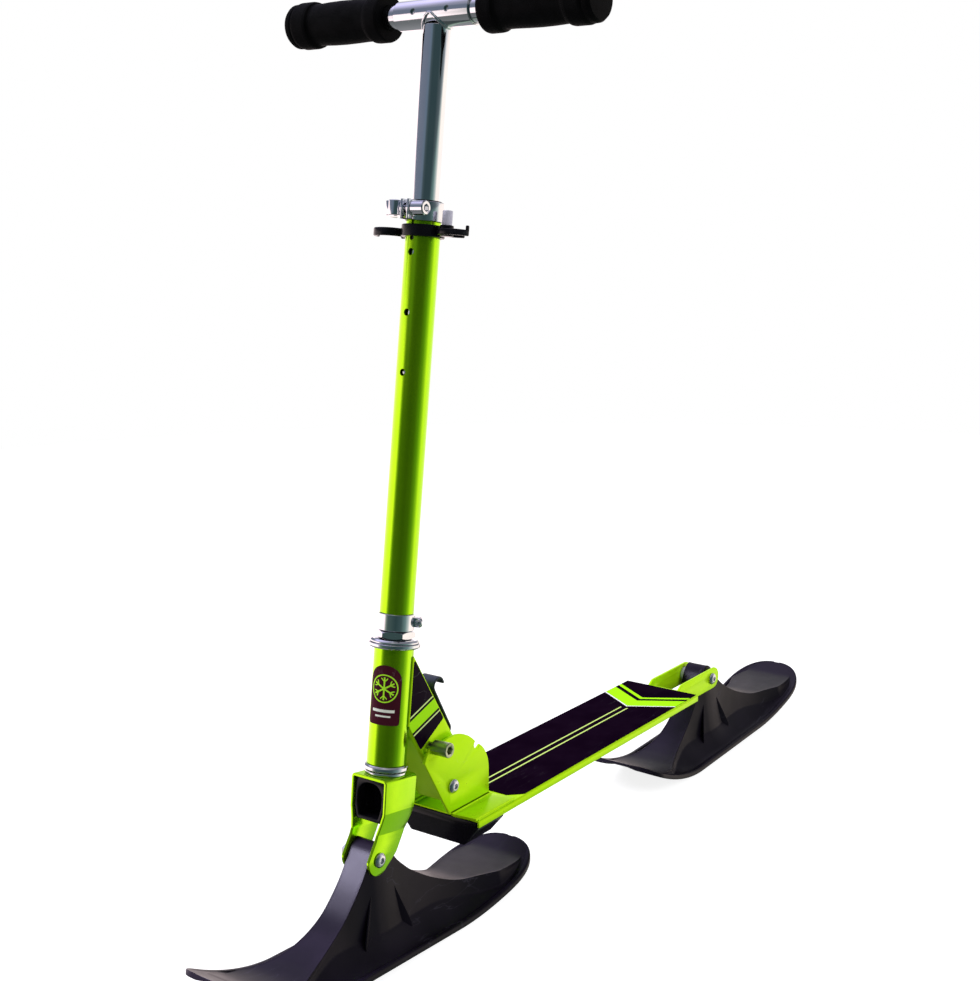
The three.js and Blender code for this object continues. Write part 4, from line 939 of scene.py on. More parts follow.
def smoothed(mesh: bpy.types.Mesh) -> None:
    """Shades a mesh smooth, with sharp edges where it bends by more than SHARP_ANGLE."""
    mesh.polygons.foreach_set("use_smooth", [True] * len(mesh.polygons))
    mesh.set_sharp_from_angle(angle=math.radians(SHARP_ANGLE))


def shown(name: str, data: bpy.types.ID) -> Thing:
    """A new object in the scene for a mesh, a camera or a lamp."""
    made = bpy.data.objects.new(name, data)
    bpy.context.scene.collection.objects.link(made)
    return made


def placed(name: str, shape: Shape, place: Place) -> Thing:
    """A new object in the scene whose mesh is a shape at a place."""
    mesh = bpy.data.meshes.new(name)
    mesh.from_pydata(place.world(shape.points).tolist(), [], shape.faces)
    return shown(mesh.name, mesh)


class Bench:
    """Makes the pieces, dresses the kept solids and remembers each finish's material."""

    def __init__(self) -> None:
        """Starts with no materials made."""
        self.made: dict[str, bpy.types.Material] = {}

    def material(self, finish: Finish) -> bpy.types.Material:
        """The finish's material, made once."""
        if finish.name not in self.made:
            self.made[finish.name] = finish.build()
        return self.made[finish.name]

    def piece(self, place: Place, body: str, row: Row, own: Array | None = None,
              extra: bool = False) -> Thing:
        """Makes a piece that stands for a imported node, or an extra piece beside it.

        Args:
            place: Where the drawing frame stands.
            body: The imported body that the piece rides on.
            row: The node's name, the end of the piece's name, the surface and the finish.
            own: Optional pattern coordinates in millimetres, one (u, v) a point.
            extra: Whether the node is left to another piece.

        Returns:
            The new object.
        """
        node, ending, shape, finish = row
        piece = placed(f"{node}_{ending}", shape, place)
        mesh = piece.data
        smoothed(mesh)
        if own is not None:
            corners = np.empty(len(mesh.loops), np.int32)
            mesh.loops.foreach_get("vertex_index", corners)
            layer = mesh.uv_layers.new(name="UVMap")
            layer.data.foreach_set("uv", (own[corners] * MM).astype(np.float32).ravel())
        mesh.update()
        mesh.materials.append(self.material(finish))
        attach(piece, body)
        if not extra:
            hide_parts(node)
        log.info("%s: %d faces on body %s", piece.name, len(mesh.polygons), body)
        return piece

    def pieces(self, place: Place, body: str, *rows: Row) -> None:
        """Makes several pieces that share a place and a body."""
        for row in rows:
            self.piece(place, body, row)

    def pair(self, place: Place, body: str, row: Row) -> None:
        """Makes a piece drawn on the rider's left and its mirror image; {} stands for the hand."""
        node, ending, shape, finish = row
        for hand, sided in (("left", shape), ("right", shape.mirrored())):
            self.piece(place, body.format(hand), (node.format(hand), ending, sided, finish))

    def axle(self, place: Place, body: str, name: str, cross: CrossBolt) -> None:
        """Makes a bolt that lies across the machine, and its nut."""
        self.pieces(place, body, (f"{name}_bolt", "head", cross.bolt(), ZINC),
                    (f"{name}_nut", "hex", cross.nut(), ZINC))

    def dress(self, nodes: Sequence[str], finish: Finish) -> None:
        """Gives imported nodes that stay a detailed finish.

        Args:
            nodes: The nodes' names.
            finish: The finish.
        """
        for name in nodes:
            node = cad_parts[name]
            node.data.materials.clear()
            node.data.materials.append(self.material(finish))
            log.info("%s keeps its solid", name)


def pierced(piece: Thing, tools: Sequence[Shape], place: Place) -> None:
    """Cuts holes through a piece and keeps the result as its mesh.

    Args:
        piece: The piece to drill.
        tools: The shapes to take away.
        place: Where the tools' drawing frame stands.
    """
    for index, shape in enumerate(tools):
        tool = placed(f"tool_{index}", shape, place)
        cut = piece.modifiers.new("hole", "BOOLEAN")
        cut.operation = "DIFFERENCE"
        cut.solver = "EXACT"
        cut.object = tool
        bpy.context.view_layer.update()
        result = bpy.data.meshes.new_from_object(piece.evaluated_get(bpy.context.evaluated_depsgraph_get()))
        piece.modifiers.clear()
        result.name = piece.data.name
        piece.data = result
        bpy.data.objects.remove(tool)
    smoothed(piece.data)


# Sub-assemblies

@dataclass
class Handlebar:
    """The T-bar with its two pull-out grips; the cross tube lies along X at the bar's height."""

    stem_outer: float = 12.7
    stem_inner: float = 11.2
    stem_low: float = 417.4
    sleeve_outer: float = 13.3
    sleeve_inner: float = 11.5
    sleeve_half: float = 42.0
    bead: float = 1.5
    ripples: int = 22
    ripple_share: float = 0.12
    bar: Sizes = (11.2, 9.7, 6.0, 168.3)
    grip_start: float = 56.0
    grip_end: float = 171.0
    grip_floor: float = 3.0
    grip_edge: float = 0.9
    grip_bore_gap: float = 0.3
    bulge: float = 21.6
    dome_share: float = 0.70
    hole: Sizes = (2.9, 8.0, 16.0, 0.1, 32)
    snap_place: float = 19.0
    snap: Sizes = (2.4, 11.35, 5.0)
    button_height: float = 443.4
    height_button: Sizes = (2.8, 14.1, 6.0)
    grip_profile: Path = (
        (0.0, 0.86), (0.0, 0.965), (0.022, 1.0), (0.11, 1.0), (0.135, 0.985), (0.147, 0.915), (0.17, 0.885),
        (0.24, 0.885), (0.36, 0.908), (0.48, 0.92), (0.60, 0.91), (0.70, 0.885), (0.738, 0.878),
        (0.755, 0.90), (0.765, 0.975), (0.79, 1.0), (0.90, 1.0), (0.918, 0.975), (0.925, 0.93),
        (0.932, 0.93), (0.94, 0.955), (0.975, 0.945), (1.0, 0.85))

    def stem(self) -> Shape:
        """The upright tube."""
        return pipe(self.stem_outer, self.stem_inner, self.stem_low, BAR_HEIGHT - self.sleeve_inner)

    def seam(self) -> Shape:
        """The weld round the stem.

        On a circle of about the stem's radius r, the bead lies below the bar's axis by the depth of the
        cross tube there, the root of R squared less (r sin p) squared.

        Returns:
            The closed surface.
        """
        turn = full_turn()
        radius = self.stem_outer + self.bead * 0.35
        y = radius * np.sin(turn)
        drop = np.sqrt(np.maximum(self.sleeve_outer ** 2 - y ** 2, 4.0)) + self.bead * 0.2
        ripple = self.bead * (1 + self.ripple_share * np.sin(turn * self.ripples))
        return sweep(np.stack([radius * np.cos(turn), y, BAR_HEIGHT - drop], axis=1), ripple, closed=True)

    def sleeve(self) -> Shape:
        """The cross tube on top of the stem."""
        return pipe(self.sleeve_outer, self.sleeve_inner, -self.sleeve_half, self.sleeve_half).crosswise()

    def bar_tube(self) -> Shape:
        """The thin tube inside a grip."""
        return pipe(*self.bar).crosswise()

    def grip(self) -> Shape:
        """A soft grip: its radius follows the shares along its length, smoothed, closed by a domed end.

        Returns:
            The closed surface.
        """
        shares = np.array(self.grip_profile)
        length = self.grip_end - self.grip_start
        skin = np.stack([shares[:, 1] * self.bulge, self.grip_start + shares[:, 0] * length], axis=1)
        body = rounded([(r, z, self.grip_edge) for r, z in skin], closed=False)
        wall, floor = self.bar[0] + self.grip_bore_gap, self.grip_start + self.grip_floor
        start = [[TINY, floor], [wall, floor], [wall, self.grip_start + 0.3]]
        dome = [[self.bulge * self.dome_share, self.grip_end + 0.25], [TINY, self.grip_end + 0.3]]
        return turned(np.vstack([start, body, dome]), FINE_ROUND).crosswise()

    def button(self, radius: float, tip: float, length: float) -> Shape:
        """A domed snap button whose tip points forward."""
        foot = tip - length
        path = [(TINY, foot), (radius, foot), (radius, tip, radius * 0.75), (TINY, tip)]
        return turned(rounded(path, closed=False), ROUND // 2).forward()

    def build(self, bench: Bench) -> None:
        """Makes the handlebar's pieces.

        Args:
            bench: Makes the pieces.
        """
        bar = self.stem() + self.seam() + self.sleeve().moved(z=BAR_HEIGHT)
        t_bar = bench.piece(STEERING, "handlebar", ("t_bar", "body", bar, CHROME))
        hole = rod(*self.hole).forward()
        holes = [hole.moved(z=BAR_HEIGHT, x=side * self.snap_place) for side in (-1, 1)]
        pierced(t_bar, holes + [hole.moved(z=self.button_height)], STEERING)
        snap = self.button(*self.snap).moved(x=self.snap_place)
        button = self.button(*self.height_button).moved(z=self.button_height)
        bench.pair(BAR, "grip_{}", ("bar_tube_{}", "skin", self.bar_tube(), CHROME))
        bench.pair(BAR, "grip_{}", ("grip_{}", "skin", self.grip(), GRIP_FOAM))
        bench.pair(BAR, "grip_button_{}", ("grip_button_{}", "dome", snap, ZINC))
        bench.piece(STEERING, "height_button", ("height_button", "dome", button, ZINC))
        bench.dress(["button_spring"], DARK_STEEL)


@dataclass
class Column:
    """The outer tube with its clamp, cam lever, holder clip and the sleeve that holds it on the steerer.

    A strip's tuple holds its lower face, its upper face, its thickness and its edge radius, and the
    nut's holds its radius, start, end and socket.
    """

    outer: float = 15.9
    inner: float = 14.4
    bottom: float = 222.9
    top: float = 596.0
    drill: Pair = (8.0, 20.0)
    hole_radius: float = 3.2
    holes: Sizes = (443.4, 497.5, 551.6)
    relief: float = 564.2
    relief_radius: float = 2.3
    slit_half: float = 1.3
    clamp_low: float = 581.8
    clamp_high: float = 597.1
    clamp_skirt: float = 2.4
    clamp_wall: float = 2.0
    clamp_gap: float = 0.3
    ear_reach: float = 29.5
    ear_bend: float = 20.0
    ear_root: float = 15.0
    ear_middle: float = 3.6
    ear_faces: Pair = (1.5, 5.7)
    skewer_place: float = 23.2
    skewer_bore: float = 2.8
    nut_sizes: Sizes = (6.5, 6.1, 20.5, 6.0)
    cam_place: float = 14.5
    cam: Sizes = (6.8, 582.6, 596.3, 1.0)
    cam_pin: Sizes = (2.0, 582.1, 596.9, 0.5)
    lever_thick: float = 3.4
    lever_taper: float = 1.6
    lever_steps: int = 40
    lever_shares: Path = ((1.0, -1.0), (1.62, -1.02), (2.2, -0.62), (2.55, -0.08), (2.66, 0.36))
    clip_ring: Sizes = (19.8, 16.2, 565.7, 576.4, 0.9)
    hook: float = 14.7
    hook_middle: Pair = (34.0, 3.0)
    hook_turn: Pair = (92.0, 358.0)
    hook_strip: Sizes = (567.6, 573.0, 3.4, 1.0)
    neck: Path = ((17.0, 1.0), (21.5, 2.0))
    neck_strip: Sizes = (566.8, 574.6, 7.0, 1.2)
    tick: Path = ((47.3, 1.5), (50.1, 1.5))
    tick_strip: Sizes = (567.6, 577.0, 3.0, 0.9)
    far_shift: float = 5.5
    far_strip: Sizes = (566.4, 573.9, 3.8, 1.2)
    far_neck: Path = ((17.0, 1.0), (27.0, 2.6))
    far_neck_strip: Sizes = (566.6, 574.4, 7.0, 1.2)
    boss_place: Pair = (29.0, -3.0)
    boss: Sizes = (6.4, 566.6, 576.4, 0.9)
    stub: Sizes = (4.6, 572.7, 589.5, 0.8)
    sleeve_ring: Sizes = (17.2, 14.4, 207.3, 222.6, 0.5)
    lug: Path = ((15.6, 210.5), (24.5, 210.5, 3.0), (24.5, 219.5, 3.0), (15.6, 219.5))
    lug_faces: Pair = (0.8, 5.0)
    sleeve_turn: float = 38.0
    screw: Sizes = (2.0, -8.5, 5.3, 3.6, 2.9, 3.0, 1.6)
    screw_place: Pair = (20.8, 215.0)
    bush: Path = ((13.0, 557.0), (14.1, 557.0, 0.3), (14.1, 596.3), (15.7, 596.3, 0.4), (15.7, 598.3, 0.8),
                  (13.0, 598.3, 0.5))

    def bore(self, radius: float, height: float, steps: int) -> Shape:
        """A drill that goes through the tube's front wall at a height."""
        return rod(radius, *self.drill, 0.1, steps).forward().moved(z=height)

    def tube(self, bench: Bench) -> None:
        """The painted tube with its button holes and the relief hole below the clamp's slit.

        Args:
            bench: Makes the pieces.
        """
        skin = pipe(self.outer, self.inner, self.bottom, self.top, steps=FINE_ROUND)
        tube = bench.piece(STEERING, "column", ("outer_tube", "skin", skin, LIME_PAINT))
        tools = [self.bore(self.hole_radius, height, 40) for height in self.holes]
        near, far = self.drill
        slot = np.array([(x, y) for x, y in ((-1, -far), (1, -far), (1, -near), (-1, -near))])
        slit = plate(slot * np.array([self.slit_half, 1.0]), self.relief, self.top + 2, 0.05)
        pierced(tube, [*tools, self.bore(self.relief_radius, self.relief, 32), slit], STEERING)

    def collar(self) -> Shape:
        """The clamp: one band that runs from one ear round the tube to the other ear.

        Returns:
            The closed surface.
        """
        middle = self.outer + self.clamp_gap + self.clamp_wall / 2
        start = math.degrees(math.asin(self.ear_middle / middle))
        turn = np.radians(np.linspace(-90 + start, 270 - start, 60))
        ring = np.stack([middle * np.cos(turn), middle * np.sin(turn)], axis=1)
        ears = np.array([[self.ear_middle, -self.ear_reach], [self.ear_middle, -self.ear_bend]])
        path = np.vstack([ears, ring, ears[::-1] * np.array([-1.0, 1.0])])
        low, high = self.clamp_low, self.clamp_high
        band = strip(path, low - self.clamp_skirt, high, self.clamp_wall, 0.7)
        root, reach, bend = -self.ear_root, -self.ear_reach, (high - low) / 2 - 0.4
        outline = rounded([(root, low), (reach, low, bend), (reach, high, bend), (root, high)])
        hole = circle(self.skewer_bore, -self.skewer_place, (low + high) / 2)
        return band + plate(outline, *self.ear_faces, 0.7, [hole]).crosswise().paired()

    def nut(self) -> Shape:
        """The round nut with a hexagon socket on the skewer, its end rim rounded.

        Returns:
            The closed surface.
        """
        radius, start, end, socket = self.nut_sizes
        key = hex_radius(socket, full_turn())
        radii = [TINY, radius - 0.7, radius, radius, radius - 0.9, key + 0.3, key, key * 0.98, TINY]
        heights = [start, start, start + 0.7, end - 1.0, end, end, end - 0.3, end - 4.0, end - 4.4]
        return rings_of(radii, heights).crosswise()

    def lever(self) -> Shape:
        """The cam lever: a blade along a spline round the column, thinner to its tip, on a round cam.

        Returns:
            The closed surface.
        """
        points = np.array(self.lever_shares) * np.array([-self.cam_place, self.skewer_place])
        path = spline(points, self.lever_steps)
        taper = self.lever_taper * np.linspace(0.0, 1.0, self.lever_steps) ** 2
        _, low, high, _ = self.cam
        blade = strip(path, low + taper, high - taper, self.lever_thick, 1.2)
        return blade + (rod(*self.cam) + rod(*self.cam_pin, 32)).moved(-self.cam_place, -self.skewer_place)

    def clip(self) -> Shape:
        """The holder clip: a ring with two round hook arms, the left one longer, a boss and a raised tick.

        Returns:
            The closed surface.
        """
        turn = np.radians(np.linspace(*self.hook_turn, 48))
        arc = self.hook * np.stack([np.cos(turn), np.sin(turn)], axis=1) + np.array(self.hook_middle)
        near = strip(arc, *self.hook_strip) + strip(np.array(self.neck), *self.neck_strip)
        far = strip(arc + np.array([self.far_shift, 0.0]), *self.far_strip)
        far += strip(np.array(self.far_neck), *self.far_neck_strip)
        tick = strip(np.array(self.tick), *self.tick_strip)
        return pipe(*self.clip_ring) + near + far.mirrored() + tick + rod(*self.boss).moved(*self.boss_place)

    def sleeve(self) -> Shape:
        """The sleeve at the tube's foot with a slit lug."""
        lug = plate(rounded(self.lug), *self.lug_faces, 0.7).lie(Lie.XZY)
        return (pipe(*self.sleeve_ring) + lug + lug.mirrored(1)).turned_z(self.sleeve_turn)

    def build(self, bench: Bench) -> None:
        """Makes the column's pieces.

        Args:
            bench: Makes the pieces.
        """
        self.tube(bench)
        nut = self.nut().moved(y=-self.skewer_place, z=(self.clamp_low + self.clamp_high) / 2)
        x, z = self.screw_place
        screw = socket_bolt(*self.screw).forward().moved(x=x, z=z).turned_z(self.sleeve_turn)
        bench.pieces(STEERING, "column", ("clamp_collar", "band", self.collar(), CHROME),
                     ("skewer_nut", "round", nut, CHROME))
        bench.piece(STEERING, "cam_lever", ("cam_lever", "blade", self.lever(), CHROME))
        bench.pieces(STEERING, "column", ("holder_clip", "moulding", self.clip(), GLOSS_PLASTIC),
                     ("holder_pin", "stub", rod(*self.stub).moved(*self.boss_place), PALE_NYLON),
                     ("clamp_sleeve", "band", self.sleeve(), CHROME),
                     ("sleeve_screw", "head", screw, ZINC),
                     ("column_bush", "ring", turned(rounded(self.bush), ring=True), GLOSS_PLASTIC))
        bench.dress(["skewer", "steerer"], ZINC)


@dataclass
class Headset:
    """Head tube with its cups, cone, locknut and label; a ring's profile is (radius, height, rounding)."""

    tube_outer: float = 18.55
    tube_inner: float = 16.05
    low: float = 81.7
    high: float = 191.0
    label_low: float = 120.5
    label_high: float = 176.0
    label_half: float = 50.0
    label_turn: float = 18.0
    label_lift: float = 0.1
    label_thick: float = 0.45
    label_arch: float = 15.0
    label_corner: float = 3.0
    corner_start: float = 0.82
    corner_share: float = 0.18
    lower_cup: Path = ((16.0, 78.9), (19.9, 78.9), (19.9, 76.7), (21.0, 76.6, 0.6), (21.0, 79.8, 1.2),
                       (19.6, 81.4, 0.8), (16.0, 81.4))
    upper_cup: Path = ((15.8, 191.3), (23.2, 191.3, 0.9), (24.5, 192.8, 1.0), (24.5, 195.7, 0.7),
                       (20.2, 195.7), (20.2, 193.3), (15.8, 193.3))
    upper_cone: Path = ((14.4, 196.0), (23.2, 196.0, 0.5), (23.2, 197.6, 0.6), (21.6, 199.2, 0.6),
                        (14.4, 199.2))
    lower_race: Sizes = (19.6, 14.4, 72.3, 75.2, 0.9)
    locknut: Sizes = (33.0, 14.4, 199.5, 207.0)

    def label(self) -> tuple[Shape, Array]:
        """The label: a patch of a cylinder whose top is an arch.

        Across by share s from -1 to 1, the top edge drops from the crown with 1 - root(1 - s squared)
        times the arch's height, and the corners below are cut back by a quarter circle.

        Returns:
            The thin closed patch and its pattern coordinates in millimetres.
        """
        across = np.linspace(-1.0, 1.0, 61)
        half = math.radians(self.label_half)
        radius = self.tube_outer + self.label_lift
        arch = self.label_arch * (1 - np.sqrt(np.maximum(1 - across ** 2, 0.0)))
        corner = np.clip((np.abs(across) - self.corner_start) / self.corner_share, 0, 1)
        foot = self.label_corner * (1 - np.sqrt(np.maximum(1 - corner ** 2, 0.0)))
        up = np.linspace(0.0, 1.0, 31)[:, None]
        z = (self.label_low + foot) * (1 - up) + (self.label_high - arch) * up
        angle = np.broadcast_to(across * half, z.shape) - math.pi / 2
        sheets = [np.stack([r * np.cos(angle), r * np.sin(angle), z], axis=-1).reshape(-1, 3)
                  for r in (radius, radius + self.label_thick)]
        index = np.arange(z.size).reshape(z.shape)
        inner = quads(index)
        loop = np.concatenate([index[0], index[1:, -1], index[-1, -2::-1], index[-2:0:-1, 0]])
        following = np.roll(loop, -1)
        rim = np.stack([loop, following, following + z.size, loop + z.size], axis=1)
        faces = np.vstack([inner[:, ::-1], inner + z.size, rim]).tolist()
        flat = np.stack([np.broadcast_to(across * half * radius, z.shape), z], axis=-1).reshape(-1, 2)
        return Shape(np.vstack(sheets), faces).outward().turned_z(self.label_turn), np.vstack([flat, flat])

    def ring(self, profile: Path) -> Shape:
        """A turned ring."""
        return turned(rounded(profile), FINE_ROUND, ring=True)

    def build(self, bench: Bench) -> None:
        """Makes the head tube and its rings.

        Args:
            bench: Makes the pieces.
        """
        tube = pipe(self.tube_outer, self.tube_inner, self.low, self.high, steps=FINE_ROUND)
        label, own = self.label()
        bench.piece(STEERING, "arm", ("head_tube", "skin", tube, LIME_PAINT))
        bench.piece(STEERING, "arm", ("head_label", "sheet", label, LABEL_PRINT), own)
        bench.pieces(STEERING, "arm", ("lower_cup", "ring", self.ring(self.lower_cup), CHROME),
                     ("upper_cup", "ring", self.ring(self.upper_cup), CHROME))
        bench.pieces(STEERING, "column", ("upper_cone", "ring", self.ring(self.upper_cone), CHROME),
                     ("lower_race", "ring", pipe(*self.lower_race, FINE_ROUND), CHROME),
                     ("locknut", "ring", hex_nut(*self.locknut), CHROME))
        bench.dress(["lower_bearing", "upper_bearing"], ZINC)


@dataclass
class ForkCrown:
    """The bent strip that carries the front ski, its moulded liner and the ski's bolt.

    The leg's front and rear edges are given as (height, place along the machine).
    """

    half: float = 21.0
    leg_half: float = 16.7
    sheet: float = 3.0
    top: float = 72.0
    joggle_low: float = 21.0
    joggle_high: float = 40.0
    joggle: float = 6.0
    bend: float = 4.0
    bolt_y: float = -20.99
    bolt_z: float = -3.0
    end: float = 14.7
    front: Path = ((-3.0, -35.69), (8.0, -30.4), (14.5, -27.1), (20.5, -25.3), (30.0, -23.5),
                   (38.0, -22.75), (72.0, -23.7))
    rear: Path = ((-11.7, -9.1), (-6.0, -2.6), (0.0, 3.6), (8.0, 7.6), (16.0, 11.4), (24.0, 14.9),
                  (34.0, 18.4), (44.0, 20.1), (72.0, 20.5))
    liner_edge: Path = ((14.4, 30.0, 1.0), (17.7, 42.0, 3.0), (17.7, 68.7, 2.5))
    liner_window: Path = ((11.2, 33.5, 2.0), (14.2, 45.0, 6.0), (14.2, 65.0, 12.0))
    liner_rim: Sizes = (-21.0, 3.0, 0.9)
    liner_back: Sizes = (2.0, 17.0, 0.9)
    liner_gap: float = 0.4
    bolt: CrossBolt = CrossBolt(-26.2, 17.0, 3.4, -23.5, -17.0)

    def reach(self, z: Array) -> tuple[Array, Array]:
        """Front and rear place of the leg's edges at each height, round at the end about the bolt.

        Args:
            z: The heights.

        Returns:
            Places of the front and the rear edge.
        """
        under = np.sqrt(np.maximum(self.end ** 2 - (z - self.bolt_z) ** 2, 0.01))
        front = np.interp(z, *np.array(self.front).T)
        rear = np.interp(z, *np.array(self.rear).T)
        front = np.where(z < self.bolt_z, self.bolt_y - under, front)
        rear = np.where(z < self.rear[0][0], self.bolt_y + under, rear)
        return front, rear

    def crown(self) -> Shape:
        """The strip seen from the front is a bent path; seen from the side it is trimmed to the legs.

        Returns:
            The closed surface.
        """
        mid = self.sheet / 2
        low = self.bolt_z - self.end + TINY
        leg, wide, top = self.leg_half - mid, self.half - mid, self.top - mid
        side = [(leg, low), (leg, self.joggle_low, self.joggle), (wide, self.joggle_high, self.joggle),
                (wide, top, self.bend - mid)]
        path = rounded(side + flipped(side), False, 7.0)
        length = run_length(path)
        ends = self.end * (1 - np.cos(np.linspace(0, math.pi / 2, 16)))
        at = np.unique(np.concatenate([ends, length[-1] - ends, length, np.linspace(0, length[-1], 150)]))
        fine = read_at(at, length, path)
        front, rear = self.reach(fine[:, 1])
        return strip(fine, front, rear, self.sheet, 0.55).lie(Lie.XZY)

    def liner(self) -> Shape:
        """The moulded block between the legs: a plate with an arched hollow, and a back wall."""
        outline, window = (rounded([*side, *flipped(side)]) for side in (self.liner_edge, self.liner_window))
        rim = plate(outline, *self.liner_rim, [window])
        return (rim + plate(inset(left_turning(outline), self.liner_gap), *self.liner_back)).lie(Lie.XZY)

    def build(self, bench: Bench) -> None:
        """Makes the crown, its liner and the front ski's bolt and nut."""
        bench.pieces(STEERING, "column", ("fork", "strip", self.crown(), LIME_PAINT),
                     ("fork_liner", "moulding", self.liner(), GLOSS_PLASTIC))
        bench.axle(FRONT_AXLE, "column", "front_ski", self.bolt)


@dataclass
class FoldingArm:
    """The bent channel welded to the head tube, its printed sheets, and the weld along the tube.

    In the arm's frame Z runs up along the arm from the fold pivot and Y rearwards across it.
    """

    half: float = 19.0
    sheet: float = 2.5
    bend: float = 3.5
    tube_radius: float = 18.85
    tube_cut: float = 5.5
    foot_high: float = 60.0
    weld_span: Pair = (-9.0, 32.0)
    weld_steps: int = 90
    weld_sunk: float = 0.6
    weld_bead: float = 1.1
    weld_ripple: float = 0.16
    print_start: float = 61.0
    print_edge: float = 1.2
    print_gap: float = 1.6
    print_faces: Pair = (0.1, 0.55)
    outline: Path = ((-10.5, 150.0), (-10.5, -18.5, 9.0), (12.0, -18.5, 12.0), (33.0, 2.0, 13.0),
                     (33.0, 150.0))

    def top(self, x: Array, v: Array) -> Array:
        """Height along the arm at which it meets the head tube.

        The place behind the steering axis falls linearly with the height, and the tube's rear face
        lies the root of radius squared less x squared behind the axis.

        Args:
            x: Places across the arm.
            v: Places in the arm's frame.

        Returns:
            The heights.
        """
        lean, rake = math.radians(ARM_LEAN), math.radians(RAKE)
        back = FOLD_Y + v * math.cos(lean) - STEER_Y
        up = FOLD_Z + v * math.sin(lean) - BOLT
        start = back * math.cos(rake) - up * math.sin(rake)
        wall = np.sqrt(np.maximum(self.tube_radius ** 2 - x ** 2, 0.0))
        return (start - np.maximum(wall, self.tube_cut)) / math.sin(lean + rake)

    def channel(self) -> Shape:
        """The channel: its path across is a U, and its length runs from the side outline to the tube.

        Returns:
            The closed surface.
        """
        edge = self.half - self.sheet / 2
        front = self.outline[0][0] + self.sheet / 2
        rear = self.outline[-1][0]
        path = rounded([(-edge, rear), (-edge, front, self.bend), (edge, front, self.bend), (edge, rear)],
                       False)
        length = run_length(path)
        fine = read_at(np.unique(np.concatenate([length, np.linspace(0, length[-1], 90)])), length, path)
        lower = rounded(self.outline, closed=False)
        chain = lower[lower[:, 1] < self.foot_high]
        chain = chain[np.argsort(chain[:, 0], kind="stable")]
        low = np.interp(fine[:, 1], chain[:, 0], chain[:, 1])
        return strip(fine, low, self.top(fine[:, 0], fine[:, 1]), self.sheet, 0.5)

    def weld(self) -> Shape:
        """A rippled bead where the channel's side meets the head tube.

        Returns:
            The closed surface.
        """
        v = np.linspace(*self.weld_span, self.weld_steps)
        x = np.full_like(v, self.half - self.weld_sunk)
        ripple = self.weld_bead + self.weld_ripple * np.sin(np.arange(self.weld_steps) * 1.9)
        return sweep(np.stack([x, v, self.top(x, v) - self.weld_sunk], axis=1), ripple, 10)

    def sheet_print(self) -> Shape:
        """The printed sheet on the channel's side, cut along the head tube.

        Returns:
            The closed surface.
        """
        front, rear = self.outline[0][0] + self.print_edge, self.outline[-1][0] - self.print_edge
        top = self.top(np.full(2, self.half + 0.5), np.array([front, rear])) - self.print_gap
        outline = rounded([(front, self.print_start, 2.0), (rear, self.print_start, 2.0), (rear, top[1], 1.5),
                           (front, top[0], 1.5)])
        low, high = (self.half + face for face in self.print_faces)
        return plate(outline, low, high, 0.12).crosswise()

    def build(self, bench: Bench) -> None:
        """Makes the arm, its welds and prints.

        Args:
            bench: Makes the pieces.
        """
        arm = self.channel() + self.weld().paired()
        bench.piece(ARM, "arm", ("folding_arm", "channel", arm, LIME_PLATE))
        bench.pair(ARM, "arm", ("arm_decal_{}", "sheet", self.sheet_print(), ARM_PRINT))
        bench.dress(["arm_bush"], ZINC)


